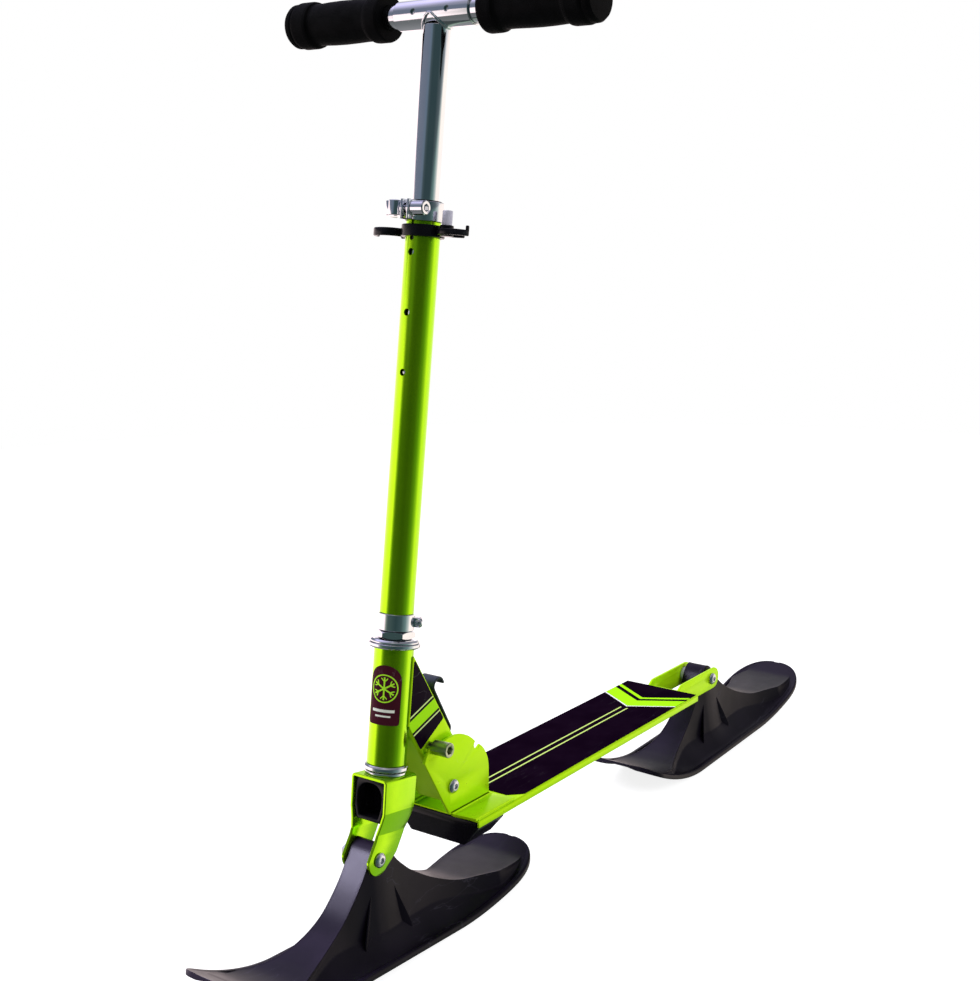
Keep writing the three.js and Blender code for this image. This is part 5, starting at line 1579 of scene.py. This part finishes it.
@dataclass
class HingeBracket:
    """The two notched plates on the deck, the fold pivot's bolt and the sliding lock with its lever.

    Notches are slots of the lock pin's radius, at angles from straight up towards the rear. The rim is
    given as (angle, share of the edge radius), and a barrel as its radius, start, end and socket.
    """

    outer: float = 26.0
    sheet: float = 3.0
    edge: float = 50.2
    foot_edge: float = 50.6
    foot: Pair = (103.0, 168.0)
    low: float = 84.9
    plate_low: float = 89.4
    plate_y: Pair = (94.0, 158.0)
    notches: Pair = (-29.0, 52.86)
    notch_half: float = 4.3
    notch_floor: float = 49.5
    rim_steps: int = 900
    blur: int = 25
    weld_margin: Pair = (4.0, 6.0)
    weld_steps: int = 70
    weld_ripple: float = 0.2
    lift: float = 54.9
    shaft: Sizes = (4.0, -27.0, 27.0, 0.3)
    barrel: Sizes = (7.2, 26.3, 44.0, 7.0)
    lever: Path = ((5.0, 54.9), (41.5, 27.0, 5.0), (41.5, 91.0, 6.5), (56.0, 91.5, 6.5), (56.0, 80.5))
    lever_half: float = 10.0
    lever_sheet: float = 2.6
    eye_radius: float = 6.3
    washer: Sizes = (9.0, AXLE_BORE, 19.3, 22.7, 0.4, 48)
    bolt: CrossBolt = CrossBolt(-34.8, 26.3, 4.0, -32.3, -26.3)
    rim: Path = (
        (-50, 1.09), (-42, 1.14), (-34, 1.17), (-27, 1.0), (-14, 1.0), (0, 1.0), (14, 1.0), (28, 1.0),
        (42, 1.0), (50, 1.0), (58.5, 1.06), (66, 1.11), (80, 1.165), (92, 1.175))

    def side(self) -> Array:
        """The plate's side outline: shares of the edge radius by angle, with round-ended notches.

        Where the angle is within a notch, the rim drops to the notch floor's circle about its end.

        Returns:
            The outline's points.
        """
        angle, share = np.array(self.rim, float).T
        fine = np.linspace(angle[0], angle[-1], self.rim_steps)
        radius = np.interp(fine, angle, share) * self.edge
        padding = self.blur // 2
        padded = np.concatenate([np.full(padding, radius[0]), radius, np.full(padding, radius[-1])])
        radius = np.convolve(padded, np.ones(self.blur) / self.blur, "valid")
        for notch in self.notches:
            turn = np.radians(fine - notch)
            off = np.sin(turn) * self.notch_floor
            round_end = np.sqrt(np.maximum(self.notch_half ** 2 - off ** 2, 0.0))
            floor = np.cos(turn) * self.notch_floor - round_end
            radius = np.where(np.abs(off) < self.notch_half, np.minimum(radius, floor), radius)
        y = FOLD_Y + radius * np.sin(np.radians(fine))
        z = FOLD_Z + radius * np.cos(np.radians(fine))
        front, rear = self.plate_y
        keep = (y > front - 45) & (z > self.plate_low + 1.5)
        top = np.stack([y, z], axis=1)[keep]
        return np.vstack([[front, self.plate_low], top, [rear, self.plate_low]])

    def plate_left(self) -> Shape:
        """The upright plate, and the foot bent out on the deck.

        Returns:
            The closed surface.
        """
        inner, mid = self.outer - self.sheet, self.sheet / 2
        hole = circle(AXLE_BORE, FOLD_Y, FOLD_Z)
        upright = plate(self.side(), inner, self.outer, 0.5, [hole]).crosswise()
        path = rounded([(inner + mid, self.low + 7.0), (inner + mid, self.low + mid, 3.0),
                        (self.foot_edge, self.low + mid)], False)
        length = np.linalg.norm(path - path[0], axis=1) / np.linalg.norm(path[-1] - path[0])
        bend = [0, 0.35, 1]
        front = np.interp(length, bend, [self.plate_y[0] + 0.4, self.foot[0], self.foot[0]])
        rear = np.interp(length, bend, [self.plate_y[1] - 0.4, self.foot[1] - 1.0, self.foot[1]])
        return upright + strip(path, front, rear, self.sheet, 0.6).lie(Lie.XZY)

    def seam(self) -> Shape:
        """A short rippled weld along the foot's outer edge.

        Returns:
            The closed surface.
        """
        front, rear = self.weld_margin
        y = np.linspace(self.foot[0] + front, self.foot[1] - rear, self.weld_steps)
        ripple = 1.0 + self.weld_ripple * np.sin(np.arange(self.weld_steps) * 2.1)
        path = np.stack([np.full_like(y, self.foot_edge - 0.4), y, np.full_like(y, self.low + 0.5)], axis=1)
        return sweep(path, ripple, 10)

    def pin(self) -> Shape:
        """The lock pin: a shaft with a thick hexagon-socketed barrel on each end.

        Returns:
            The closed surface.
        """
        radius, start, end, socket = self.barrel
        key = hex_radius(socket, full_turn())
        radii = [4.0, radius - 0.6, radius, radius, radius - 0.7, 4.9, key + 0.2, key, key * 0.98, TINY]
        heights = [start, start, start + 0.6, end - 0.7, end, end, end - 0.3, end - 0.6, end - 5.0, end - 5.2]
        return rod(*self.shaft).crosswise() + rings_of(radii, heights).crosswise().paired()

    def latch(self) -> Shape:
        """The latch: an eye on the pin, an arm to the rear, an upright strip and its rolled tab."""
        half = self.lever_half
        blade = strip(rounded(self.lever, False), -half, half, self.lever_sheet, 1.2).crosswise()
        return blade + rod(self.eye_radius, -half, half, 0.6).crosswise().moved(z=self.lift)

    def build(self, bench: Bench) -> None:
        """Makes the bracket's pieces.

        Args:
            bench: Makes the pieces.
        """
        bench.pair(MACHINE, "deck", ("hinge_plate_{}", "sheet", self.plate_left() + self.seam(), LIME_PLATE))
        bench.axle(PIVOT, "deck", "pivot", self.bolt)
        bench.pair(PIVOT, "deck", ("pivot_washer_{}", "ring", pipe(*self.washer).crosswise(), PALE_NYLON))
        bench.pieces(LOCK, "latch", ("lock_pin", "barrels", self.pin().moved(z=self.lift), PIN_STEEL),
                     ("latch_lever", "strip", self.latch(), DARK_STEEL))


@dataclass
class Deck:
    """The bent deck with its print, beam, front cap and the fork that holds the rear ski."""

    front: float = 106.0
    rear: float = 550.0
    top: float = 84.6
    half_front: float = 52.0
    half_rear: float = 49.8
    drop: float = 7.3
    sheet: float = 2.0
    bend: float = 1.6
    print_margin: float = 2.4
    print_start: float = 173.0
    print_end: float = 549.0
    print_cut: float = 13.0
    print_faces: Pair = (0.1, 0.7)
    under_gap: float = 0.3
    beam_half: float = 16.0
    beam_drop: float = 10.0
    beam_span: Pair = (152.0, 546.0)
    cap_rows: Path = ((49.6, 74.5), (33.0, 55.0))
    cap_inner: Path = ((48.1, 75.1, 2.0), (32.3, 56.5, 2.0))
    cap_round: float = 2.5
    cap_wall: Sizes = (106.3, 110.0, 1.2)
    cap_shell: Sizes = (107.0, 150.0, 3.0, 0.7)
    fork_front: float = -168.0
    fork_sides: Pair = (18.4, 21.4)
    fork_low: float = 72.6
    fork_web: Sizes = (-82.0, -79.5, 0.6)
    web_half: float = 18.7
    fork_end: Path = ((-76.0, 88.6, 4.0), (19.0, 88.6, 12.8), (19.0, 62.4, 12.8), (-38.0, 62.4, 14.0))
    spacer: Sizes = (8.5, AXLE_BORE, 13.5, 18.1, 0.6, 48)
    bolt: CrossBolt = CrossBolt(-30.9, 21.7, 4.0, -28.2, -21.7)

    @property
    def under(self) -> float:
        """Height of what lies right below the deck's sheet."""
        return self.top - self.sheet - self.under_gap

    def board(self) -> Shape:
        """The deck: a wide U carried along the deck's length, narrowing evenly to the rear.

        Returns:
            The closed surface.
        """
        mid = self.sheet / 2
        side, high, low = self.half_front - mid, self.top - mid, self.top - self.drop
        path = rounded([(-side, low), (-side, high, self.bend), (side, high, self.bend), (side, low)], False)
        flat = strip(path, self.front, self.rear, self.sheet, 0.6).lie(Lie.XZY)
        share = (flat.points[:, 1] - self.front) / (self.rear - self.front)
        flat.points[:, 0] *= 1 - share * (1 - self.half_rear / self.half_front)
        return flat

    def print_sheet(self) -> Shape:
        """The printed sheet with two cut corners at its front.

        Returns:
            The closed surface.
        """
        front, rear = self.half_front - self.print_margin, self.half_rear - self.print_margin
        start, cut = self.print_start, self.print_cut
        outline = rounded([(-front, start + cut, 2.5), (cut - front, start, 2.5),
                           (front - cut, start, 2.5), (front, start + cut, 2.5),
                           (rear, self.print_end, 0.8), (-rear, self.print_end, 0.8)])
        low, high = (self.top + face for face in self.print_faces)
        return plate(outline, low, high, 0.2)

    def beam(self) -> Shape:
        """The channel beam below the deck."""
        half, high, low = self.beam_half, self.under, self.under - self.beam_drop
        path = rounded([(-half, high), (-half, low, 2.0), (half, low, 2.0), (half, high)], False)
        return strip(path, *self.beam_span, 2.0, 0.4).lie(Lie.XZY)

    def cap(self) -> Shape:
        """The moulded front cap: a shell with slanting sides and a closed front with rounded edges.

        Returns:
            The closed surface.
        """
        (wide, middle), (narrow, low) = self.cap_rows
        side = [(wide, self.under, 0.4), (wide, middle, self.cap_round), (narrow, low, self.cap_round)]
        face = rounded(flipped(side)[::-1] + side[::-1])
        shell = [(self.cap_inner[0][0], self.under), *self.cap_inner]
        path = rounded(flipped(shell)[::-1] + shell[::-1], False)
        return plate(face, *self.cap_wall).lie(Lie.XZY) + strip(path, *self.cap_shell).lie(Lie.XZY)

    def rear_fork(self) -> Shape:
        """Two side plates with round ends on the rear ski's bolt, and a web between them.

        Returns:
            The closed surface.
        """
        low, high, half = self.fork_low, self.under, self.web_half
        outline = rounded([(self.fork_front, low, 2.0), (self.fork_front, high), (-86.0, high, 3.0),
                           *self.fork_end, (-82.0, low, 12.8)])
        side = plate(outline, *self.fork_sides, 0.6, [circle(AXLE_BORE, 0.0, BOLT)]).crosswise()
        web = rounded([(-half, low, 1.0), (half, low, 1.0), (half, high, 1.0), (-half, high, 1.0)])
        return side.paired() + plate(web, *self.fork_web).lie(Lie.XZY)

    def build(self, bench: Bench) -> None:
        """Makes the deck's pieces.

        Args:
            bench: Makes the pieces.
        """
        bench.pieces(MACHINE, "deck", ("deck", "board", self.board(), LIME_PLATE),
                     ("deck_decal", "sheet", self.print_sheet(), DECK_PRINT),
                     ("deck_beam", "channel", self.beam(), DARK_STEEL),
                     ("front_cap", "moulding", self.cap(), GLOSS_PLASTIC))
        bench.piece(REAR_END, "deck", ("rear_fork", "plates", self.rear_fork(), LIME_PLATE))
        bench.axle(REAR_AXLE, "deck", "rear_ski", self.bolt)
        bench.pair(REAR_AXLE, "deck", ("rear_spacer_{}", "ring", pipe(*self.spacer).crosswise(), PALE_NYLON))


@dataclass
class Ski:
    """A moulded ski: a rimmed sole with a hollow ridge that rises to the tower round its bolt.

    Along the ski the ridge's crest follows a smooth curve of (place, height). Across it, each ring goes
    from the rim's bead over the sloping skirt to the foot of the ridge, and up its leaning wall to the
    crest. A rib is (start along, high, foot along, foot out).
    """

    half: float = 48.5
    nose: float = 190.0
    tail: float = 234.0
    nose_corner: float = 22.0
    tail_round: float = 68.0
    tail_power: float = 2.5
    nose_flat: float = 75.0
    tail_flat: float = 85.0
    nose_lift: float = 38.0
    tail_lift: float = 29.5
    lift_power: float = 1.8
    drop: float = 14.0
    rim_height: float = 6.0
    rim_width: float = 5.5
    floor: float = 4.0
    plate: float = 5.4
    crease: float = 22.0
    wall: float = 2.8
    ridge_half: float = 13.2
    ridge_flare: float = 24.0
    flare_nose: float = 130.0
    flare_tail: float = 172.0
    flare_start: float = 0.42
    foot_lean: float = 0.105
    foot_step: float = 1.5
    boss_drop: float = 17.0
    lip: float = 0.6
    rows: int = 150
    rib_half: float = 0.8
    crest: Path = (
        (-165.0, 16.2), (-145.0, 7.8), (-120.0, 4.2), (-100.0, 6.2), (-88.0, 9.0), (-75.0, 13.5),
        (-60.0, 21.0), (-45.0, 31.4), (-31.0, 46.2), (-20.0, 60.5), (-12.0, 74.0), (-6.0, 84.6),
        (0.0, 89.1), (6.0, 90.0), (13.0, 85.5), (20.9, 76.5), (29.9, 66.2), (40.0, 57.2), (49.9, 49.5),
        (66.0, 39.6), (82.0, 31.0), (104.0, 21.6), (122.0, 16.7), (145.0, 14.8), (172.0, 13.6),
        (205.0, 12.6))
    ribs: Path = ((-3.5, 63.0, -29.0, 25.5), (15.5, 62.0, 36.0, 26.0))

    def sole(self, y: Array) -> Array:
        """Height of the sole: flat, then rising with a power of the distance to nose and tail."""
        back = np.maximum(0, y - self.tail_flat) / (self.tail - self.tail_flat)
        fore = np.maximum(0, -self.nose_flat - y) / (self.nose - self.nose_flat)
        return self.tail_lift * back ** self.lift_power + self.nose_lift * fore ** self.lift_power - self.drop

    def width(self, y: Array) -> Array:
        """Half width: round corners at the nose, and a soft power curve round the tail.

        Args:
            y: Places along the ski.

        Returns:
            The half widths.
        """
        past = np.clip((y - self.tail + self.tail_round) / self.tail_round, 0, 1)
        tail = (1 - past ** self.tail_power) ** (1 / self.tail_power)
        near = np.clip((self.nose_corner - (y + self.nose)) / self.nose_corner, 0, 1)
        nose = 1 - self.nose_corner / self.half * (1 - np.sqrt(np.maximum(1 - near ** 2, 0)))
        return self.half * tail * nose

    def places(self) -> Array:
        """Places of the rings along the ski, closer together round the nose and the tail.

        Returns:
            The places.
        """
        ease = np.linspace(0.0, math.pi / 2, 16)
        start = -self.nose + self.nose_corner * (1 - np.cos(ease))
        end = self.tail - self.tail_round * (1 - np.sin(ease) ** 0.8)
        middle = np.linspace(start[-1] + 2.0, end[0] - 2.0, self.rows)
        return np.concatenate([start, middle, end[:-1], [self.tail - TINY]])

    def rings(self) -> Array:
        """All rings of the skin as one array of rows, ring points and (x, y, z).

        The tables hold a ring's points as (half width, height), above from the rim's foot to the crest
        and below from the rim's foot to the hollow's vault.

        Returns:
            The skin's points.
        """
        curve = spline(np.array(self.crest), 500)
        y = self.places()
        sole, half = self.sole(y), np.maximum(self.width(y), 1.6)
        flat = sole + self.plate
        crest = np.where(y < curve[0, 0], flat, np.maximum(np.interp(y, curve[:, 0], curve[:, 1]), flat))
        reach = np.where(y < 0, self.flare_nose, self.flare_tail)
        flare = np.minimum(1, np.abs(y) / reach) ** 3 * self.ridge_flare
        top = np.minimum(self.ridge_half + flare, half * 0.72)
        near = eased((np.abs(y) / reach - self.flare_start) / (1 - self.flare_start))
        crease = np.minimum(sole + self.crease + (self.plate - self.crease) * near, crest)
        foot = np.minimum(top + self.foot_step + self.foot_lean * (crest - crease), half * 0.82)
        floor = sole + self.floor + (self.plate - self.floor) * eased((np.abs(y) - reach) / self.nose_corner)
        crest = np.maximum(crest, crease)
        rim = half - np.minimum(self.rim_width, half * 0.11)
        bead = np.minimum(1.3, half * 0.04)
        rim_top = sole + self.rim_height
        tall = np.clip((crest - crease) / 6.0, 0, 1)
        lip = self.lip * tall
        mid = (foot + top) / 2
        peak = crest - 0.3 * lip
        above = [
            (half, sole + 0.9), (half, rim_top - bead * 1.3), (half - bead * 0.35, rim_top - bead * 0.35),
            (half - bead * 1.3, rim_top), (rim + bead * 1.2, rim_top),
            (rim + bead * 0.25, rim_top - bead * 0.3), (rim - 0.1, floor + 0.35), (rim - 0.9, floor),
            (rim * 0.75 + foot * 0.25, floor * 0.93 + crease * 0.07),
            (rim * 0.35 + foot * 0.65, floor * 0.5 + crease * 0.5), (foot + 1.8 * tall, crease - 1.4 * tall),
            (foot + 0.45 * tall, crease - 0.1 * tall), (foot - 0.1 * tall, crease + 0.8 * tall),
            (mid + 0.1, (crest + crease) / 2 - 0.1 * (crest - crease)),
            (top + 0.35 * tall, crest - 3.0 * tall), (top + 0.05, crest - 1.1 * tall),
            (top, crest - 0.35 * lip), (top - 0.45 * tall, crest + 0.4 * lip),
            (top - 1.3 * tall, crest + 0.25 * lip), (top - 2.0 * tall, peak), (top * 0.45, peak)]
        inner = np.maximum(np.minimum(crest - self.wall, BOLT - self.boss_drop), sole + self.floor / 2)
        under = np.minimum(sole + (crease - sole) * 0.3, inner)
        below = [
            (half, sole + 0.45), (half - 0.6, sole), (rim + bead, sole), (rim, sole),
            ((foot + rim) / 2, sole), (foot + 0.6, sole), (foot - self.wall * 0.4, under),
            (mid - self.wall, inner + (under - inner) * 0.86),
            (top - self.wall + 0.3, inner + (under - inner) * 0.1), (top - self.wall - 0.5, inner),
            (top * 0.3, inner)]

        def laid(rows: Sequence[tuple[Run, Array]]) -> Array:
            """A table's points for every ring."""
            return np.stack([np.stack(np.broadcast_arrays(x, y, z), axis=-1) for x, z in rows], axis=1)

        over, lower, flip = laid(above), laid(below), np.array([-1.0, 1.0, 1.0])
        return np.concatenate([over * flip, laid([(0.0, peak)]), over[:, ::-1], lower, laid([(0.0, inner)]),
                               lower[:, ::-1] * flip], axis=1)

    def rib(self, along: float, high: float, foot_along: float, foot_out: float) -> Shape:
        """A thin upright gusset with a straight free edge from the tower's wall down to the skirt.

        Args:
            along: Its start's place along the ski.
            high: Its start's height.
            foot_along: Its foot's place along the ski.
            foot_out: Its foot's place across.

        Returns:
            The closed surface.
        """
        start = np.array([self.ridge_half - self.wall / 2, along])
        end = np.array([foot_out, foot_along])
        length = float(np.linalg.norm(end - start))
        low = self.crease - self.drop - 12.0
        outline = rounded([(0.0, high), (-2.0, low), (length + 1.0, low), (length + 0.4, low + 10.0, 1.5)])
        angle = math.degrees(math.atan2(end[1] - start[1], end[0] - start[0]))
        rib = plate(outline, -self.rib_half, self.rib_half, 0.45).lie(Lie.XZY)
        return rib.turned_z(angle).moved(start[0], start[1])

    def build(self, bench: Bench, place: Place, name: str) -> list[Thing]:
        """Makes a ski with its bolt on the place's origin, and rounds its skin by one subdivision.

        Args:
            bench: The bench that makes the pieces.
            place: Where the bolt's axis stands, tilted as the ski is rocked.
            name: The ski's node and body.

        Returns:
            The skin and the ribs.
        """
        skin = bench.piece(place, name, (name, "skin", grid(self.rings()).moved(z=-BOLT), SKI_PLASTIC))
        smooth = skin.modifiers.new("smooth", "SUBSURF")
        smooth.levels = smooth.render_levels = 1
        ribs = (self.rib(*self.ribs[0]) + self.rib(*self.ribs[1])).paired().moved(z=-BOLT)
        return [skin, bench.piece(place, name, (name, "ribs", ribs, SKI_PLASTIC), extra=True)]


@dataclass(frozen=True)
class Lamp:
    """A round area lamp; mirrored says that glossy surfaces show it."""

    name: str
    spot: Spot
    aim: Spot
    size: float
    power: float
    colour: Colour
    mirrored: bool = False


KEY = Lamp("key", (-1.45, -0.80, 1.75), (0.0, -0.1, 0.2), 1.6, 60.0, (0.96, 0.94, 1.0))
FILL = Lamp("fill", (2.4, 0.6, 1.6), (0.0, 0.0, 0.3), 1.6, 38.0, (1.0, 1.0, 0.98))
SHEEN = Lamp("sheen", (-0.76, -1.34, 0.62), (0.0, -0.36, 0.10), 0.80, 76.0, (0.78, 0.74, 1.0), True)


def standing(side: Array, up: Array, back: Array, spot: Sequence[float]) -> Matrix:
    """The matrix of something that looks away from its back, at a spot in metres."""
    turn = Matrix([[side[k], up[k], back[k]] for k in range(3)]).to_4x4()
    turn.translation = spot
    return turn


def added(tree: Tree, kind: str) -> bpy.types.Node:
    """A new node of a kind, named without its first part."""
    return tree.nodes.new(f"ShaderNode{kind}")


@dataclass
class Studio:
    """Floor, world, lamps and the camera that took the photograph's view.

    The colours of the reflected studio are given as (compass angle, colour), in bands of height.
    """

    azimuth: float = 36.17
    elevation: float = 11.17
    roll: float = -0.58
    focal: float = 54.54
    sensor: float = 36.0
    far_clip: float = 50.0
    spot: Spot = (851.6, -1305.4, 690.5)
    floor_radius: float = 3.0
    floor_drop: float = 0.0006
    floor_sides: int = 64
    floor_colour: Colour = (0.40, 0.40, 0.41)
    floor_rough: float = 0.9
    floor_glow: float = 0.84
    diffuse: Colour = (0.46, 0.46, 0.47)
    white: Colour = (1.0, 1.0, 1.0)
    middle_edge: Pair = (-0.43, 0.06)
    upper_edge: Pair = (0.155, 0.05)
    overhead_edge: Pair = (0.60, 0.25)
    upper: Stops = (
        (-180, (0.95, 0.93, 0.95)), (-160, (0.20, 0.22, 0.28)), (-62, (0.16, 0.19, 0.25)),
        (-40, (0.14, 0.19, 0.25)), (-26, (0.06, 0.09, 0.10)), (-10, (0.035, 0.062, 0.068)),
        (35, (0.035, 0.062, 0.068)), (66, (0.10, 0.13, 0.14)), (86, (0.32, 0.34, 0.36)),
        (98, (0.9, 0.9, 0.9)), (112, (0.42, 0.42, 0.46)), (140, (0.30, 0.30, 0.34)), (160, (0.8, 0.8, 0.8)),
        (180, (0.95, 0.93, 0.95)))
    middle: Stops = (
        (-180, (1.55, 1.3, 1.3)), (-76, (1.55, 1.3, 1.3)), (-63, (0.25, 0.30, 0.25)),
        (-50, (0.07, 0.11, 0.10)), (0, (0.03, 0.06, 0.06)), (34, (0.05, 0.09, 0.09)),
        (62, (0.16, 0.26, 0.24)), (82, (0.55, 0.62, 0.58)), (96, (1.25, 1.12, 1.0)),
        (150, (1.3, 1.12, 1.05)), (180, (1.5, 1.25, 1.25)))
    lower: Stops = (
        (-180, (0.30, 0.30, 0.31)), (-72, (0.14, 0.15, 0.15)), (-40, (0.07, 0.08, 0.08)),
        (40, (0.07, 0.09, 0.08)), (70, (0.16, 0.20, 0.17)), (94, (0.40, 0.52, 0.40)),
        (150, (0.42, 0.50, 0.40)), (180, (0.35, 0.35, 0.35)))
    overhead: Stops = (
        (-180, (1.05, 0.98, 1.40)), (-130, (0.95, 0.88, 1.30)), (-90, (0.35, 0.35, 0.45)),
        (-60, (0.24, 0.25, 0.30)), (0, (0.40, 0.40, 0.43)), (60, (0.2, 0.2, 0.22)), (140, (0.2, 0.2, 0.25)),
        (168, (0.85, 0.80, 1.1)), (180, (1.05, 0.98, 1.40)))

    def camera(self) -> None:
        """A camera turned by azimuth, elevation and roll."""
        (ca, sa), (ce, se), (cr, sr) = (cos_sin(angle) for angle in (self.azimuth, self.elevation, self.roll))
        back = np.array([sa * ce, -ca * ce, se])
        level = np.array([ca, sa, 0.0])
        upright = np.cross(back, level)
        data = bpy.data.cameras.new("photo_view")
        data.lens = self.focal
        data.sensor_width = self.sensor
        data.clip_end = self.far_clip
        camera = shown("photo_view", data)
        camera.matrix_world = standing(cr * level + sr * upright, cr * upright - sr * level, back,
                                       [value * MM for value in self.spot])
        bpy.context.scene.camera = camera

    def lamp(self, lamp: Lamp) -> Thing:
        """Makes a lamp that faces its aim.

        Args:
            lamp: The lamp.

        Returns:
            The lamp.
        """
        data = bpy.data.lights.new(lamp.name, "AREA")
        data.shape = "DISK"
        data.size = lamp.size
        data.energy = lamp.power
        data.color = lamp.colour
        made = shown(lamp.name, data)
        back = unit(np.array(lamp.spot) - np.array(lamp.aim))
        side = unit(np.cross(np.array([0.0, 0.0, 1.0]), back))
        made.matrix_world = standing(side, np.cross(back, side), back, lamp.spot)
        made.visible_glossy = lamp.mirrored
        made.visible_camera = False
        return made

    def around(self, turn: Term, stops: Stops) -> Socket:
        """A colour by the compass angle in degrees from the camera's side, counted to the right.

        Args:
            turn: The angle.
            stops: The colours.

        Returns:
            The colour.
        """
        ramp = added(turn.tree, "ValToRGB")
        elements = ramp.color_ramp.elements
        while len(elements) < len(stops):
            elements.new(0.5)
        for element, (angle, colour) in zip(elements, stops):
            element.position = (angle + 180) / 360
            element.color = (*colour, 1.0)
        turn.tree.links.new((turn * (1 / 360) + 0.5).socket, ramp.inputs[0])
        return ramp.outputs["Color"]

    def world(self) -> None:
        """White to the camera; even for diffuse light; for reflections a studio with a dark side.

        The reflected colour depends on the compass direction and comes in three bands of height: the
        upright chrome sees the upper one, the painted tube the middle one, plates near the ground the
        lower one. Overhead is pale.
        """
        world = bpy.data.worlds.new("studio")
        world.use_nodes = True
        tree = world.node_tree
        tree.nodes.clear()
        direction = added(tree, "SeparateXYZ")
        tree.links.new(added(tree, "TexCoord").outputs["Generated"], direction.inputs[0])
        x, y, z = (Term(tree, direction.outputs[k]) for k in range(3))
        c, s = cos_sin(self.azimuth)
        turn = (x * c + y * s).math("ARCTAN2", x * s - y * c) * (180 / math.pi)
        shade = self.around(turn, self.lower)
        for stops, edge in ((self.middle, self.middle_edge), (self.upper, self.upper_edge),
                            (self.overhead, self.overhead_edge)):
            shade = mixed(tree, z.above(*edge).socket, shade, self.around(turn, stops))
        studio = added(tree, "Background")
        tree.links.new(shade, studio.inputs["Color"])
        path = added(tree, "LightPath")
        result = studio.outputs[0]
        for ray, colour in (("Diffuse", self.diffuse), ("Camera", self.white), ("Transmission", self.white)):
            ground = added(tree, "Background")
            ground.inputs["Color"].default_value = (*colour, 1.0)
            choice = added(tree, "MixShader")
            for index, source in enumerate((path.outputs[f"Is {ray} Ray"], result, ground.outputs[0])):
                tree.links.new(source, choice.inputs[index])
            result = choice.outputs[0]
        tree.links.new(result, added(tree, "OutputWorld").inputs["Surface"])
        bpy.context.scene.world = world

    def floor(self) -> None:
        """A pale floor below the skis, which keeps a soft shadow and goes over into white."""
        turn = full_turn(self.floor_sides)
        ring = np.stack([self.floor_radius * np.cos(turn), self.floor_radius * np.sin(turn),
                         0 * turn - self.floor_drop], axis=1)
        mesh = bpy.data.meshes.new("floor")
        mesh.from_pydata(ring.tolist(), [], [list(range(self.floor_sides))])
        floor = shown("floor", mesh)
        material = bpy.data.materials.new("pale_floor")
        material.use_nodes = True
        tree = material.node_tree
        shader = tree.nodes["Principled BSDF"].inputs
        shader["Base Color"].default_value = (*self.floor_colour, 1.0)
        shader["Roughness"].default_value = self.floor_rough
        shader["Specular IOR Level"].default_value = 0.0
        shader["Emission Color"].default_value = (*self.white, 1.0)
        glow = Term(tree, added(tree, "LightPath").outputs["Is Camera Ray"]) * self.floor_glow
        tree.links.new(glow.socket, shader["Emission Strength"])
        mesh.materials.append(material)
        floor.visible_glossy = False

    def build(self, skis: Sequence[Thing]) -> None:
        """Sets up the picture; the sheen lamp reaches only the skis.

        Args:
            skis: The pieces that the sheen lamp lights.
        """
        reach = bpy.data.collections.new("sheen_reach")
        for ski in skis:
            reach.objects.link(ski)
        self.camera()
        self.world()
        self.floor()
        self.lamp(KEY)
        self.lamp(FILL)
        self.lamp(SHEEN).light_linking.receiver_collection = reach
        bpy.context.scene.view_settings.view_transform = "Standard"


def main() -> None:
    """Builds the sub-assemblies, the skis and the studio in order."""
    logging.basicConfig(level=logging.INFO, format="%(message)s")
    bench = Bench()
    for assembly in (Deck(), HingeBracket(), FoldingArm(), Headset(), ForkCrown(), Column(), Handlebar()):
        log.info("building %s", type(assembly).__name__)
        assembly.build(bench)
    skis = Ski().build(bench, FRONT_SKI, "front_ski") + Ski().build(bench, REAR_SKI, "rear_ski")
    Studio().build(skis)


if __name__ == "__main__":
    main()
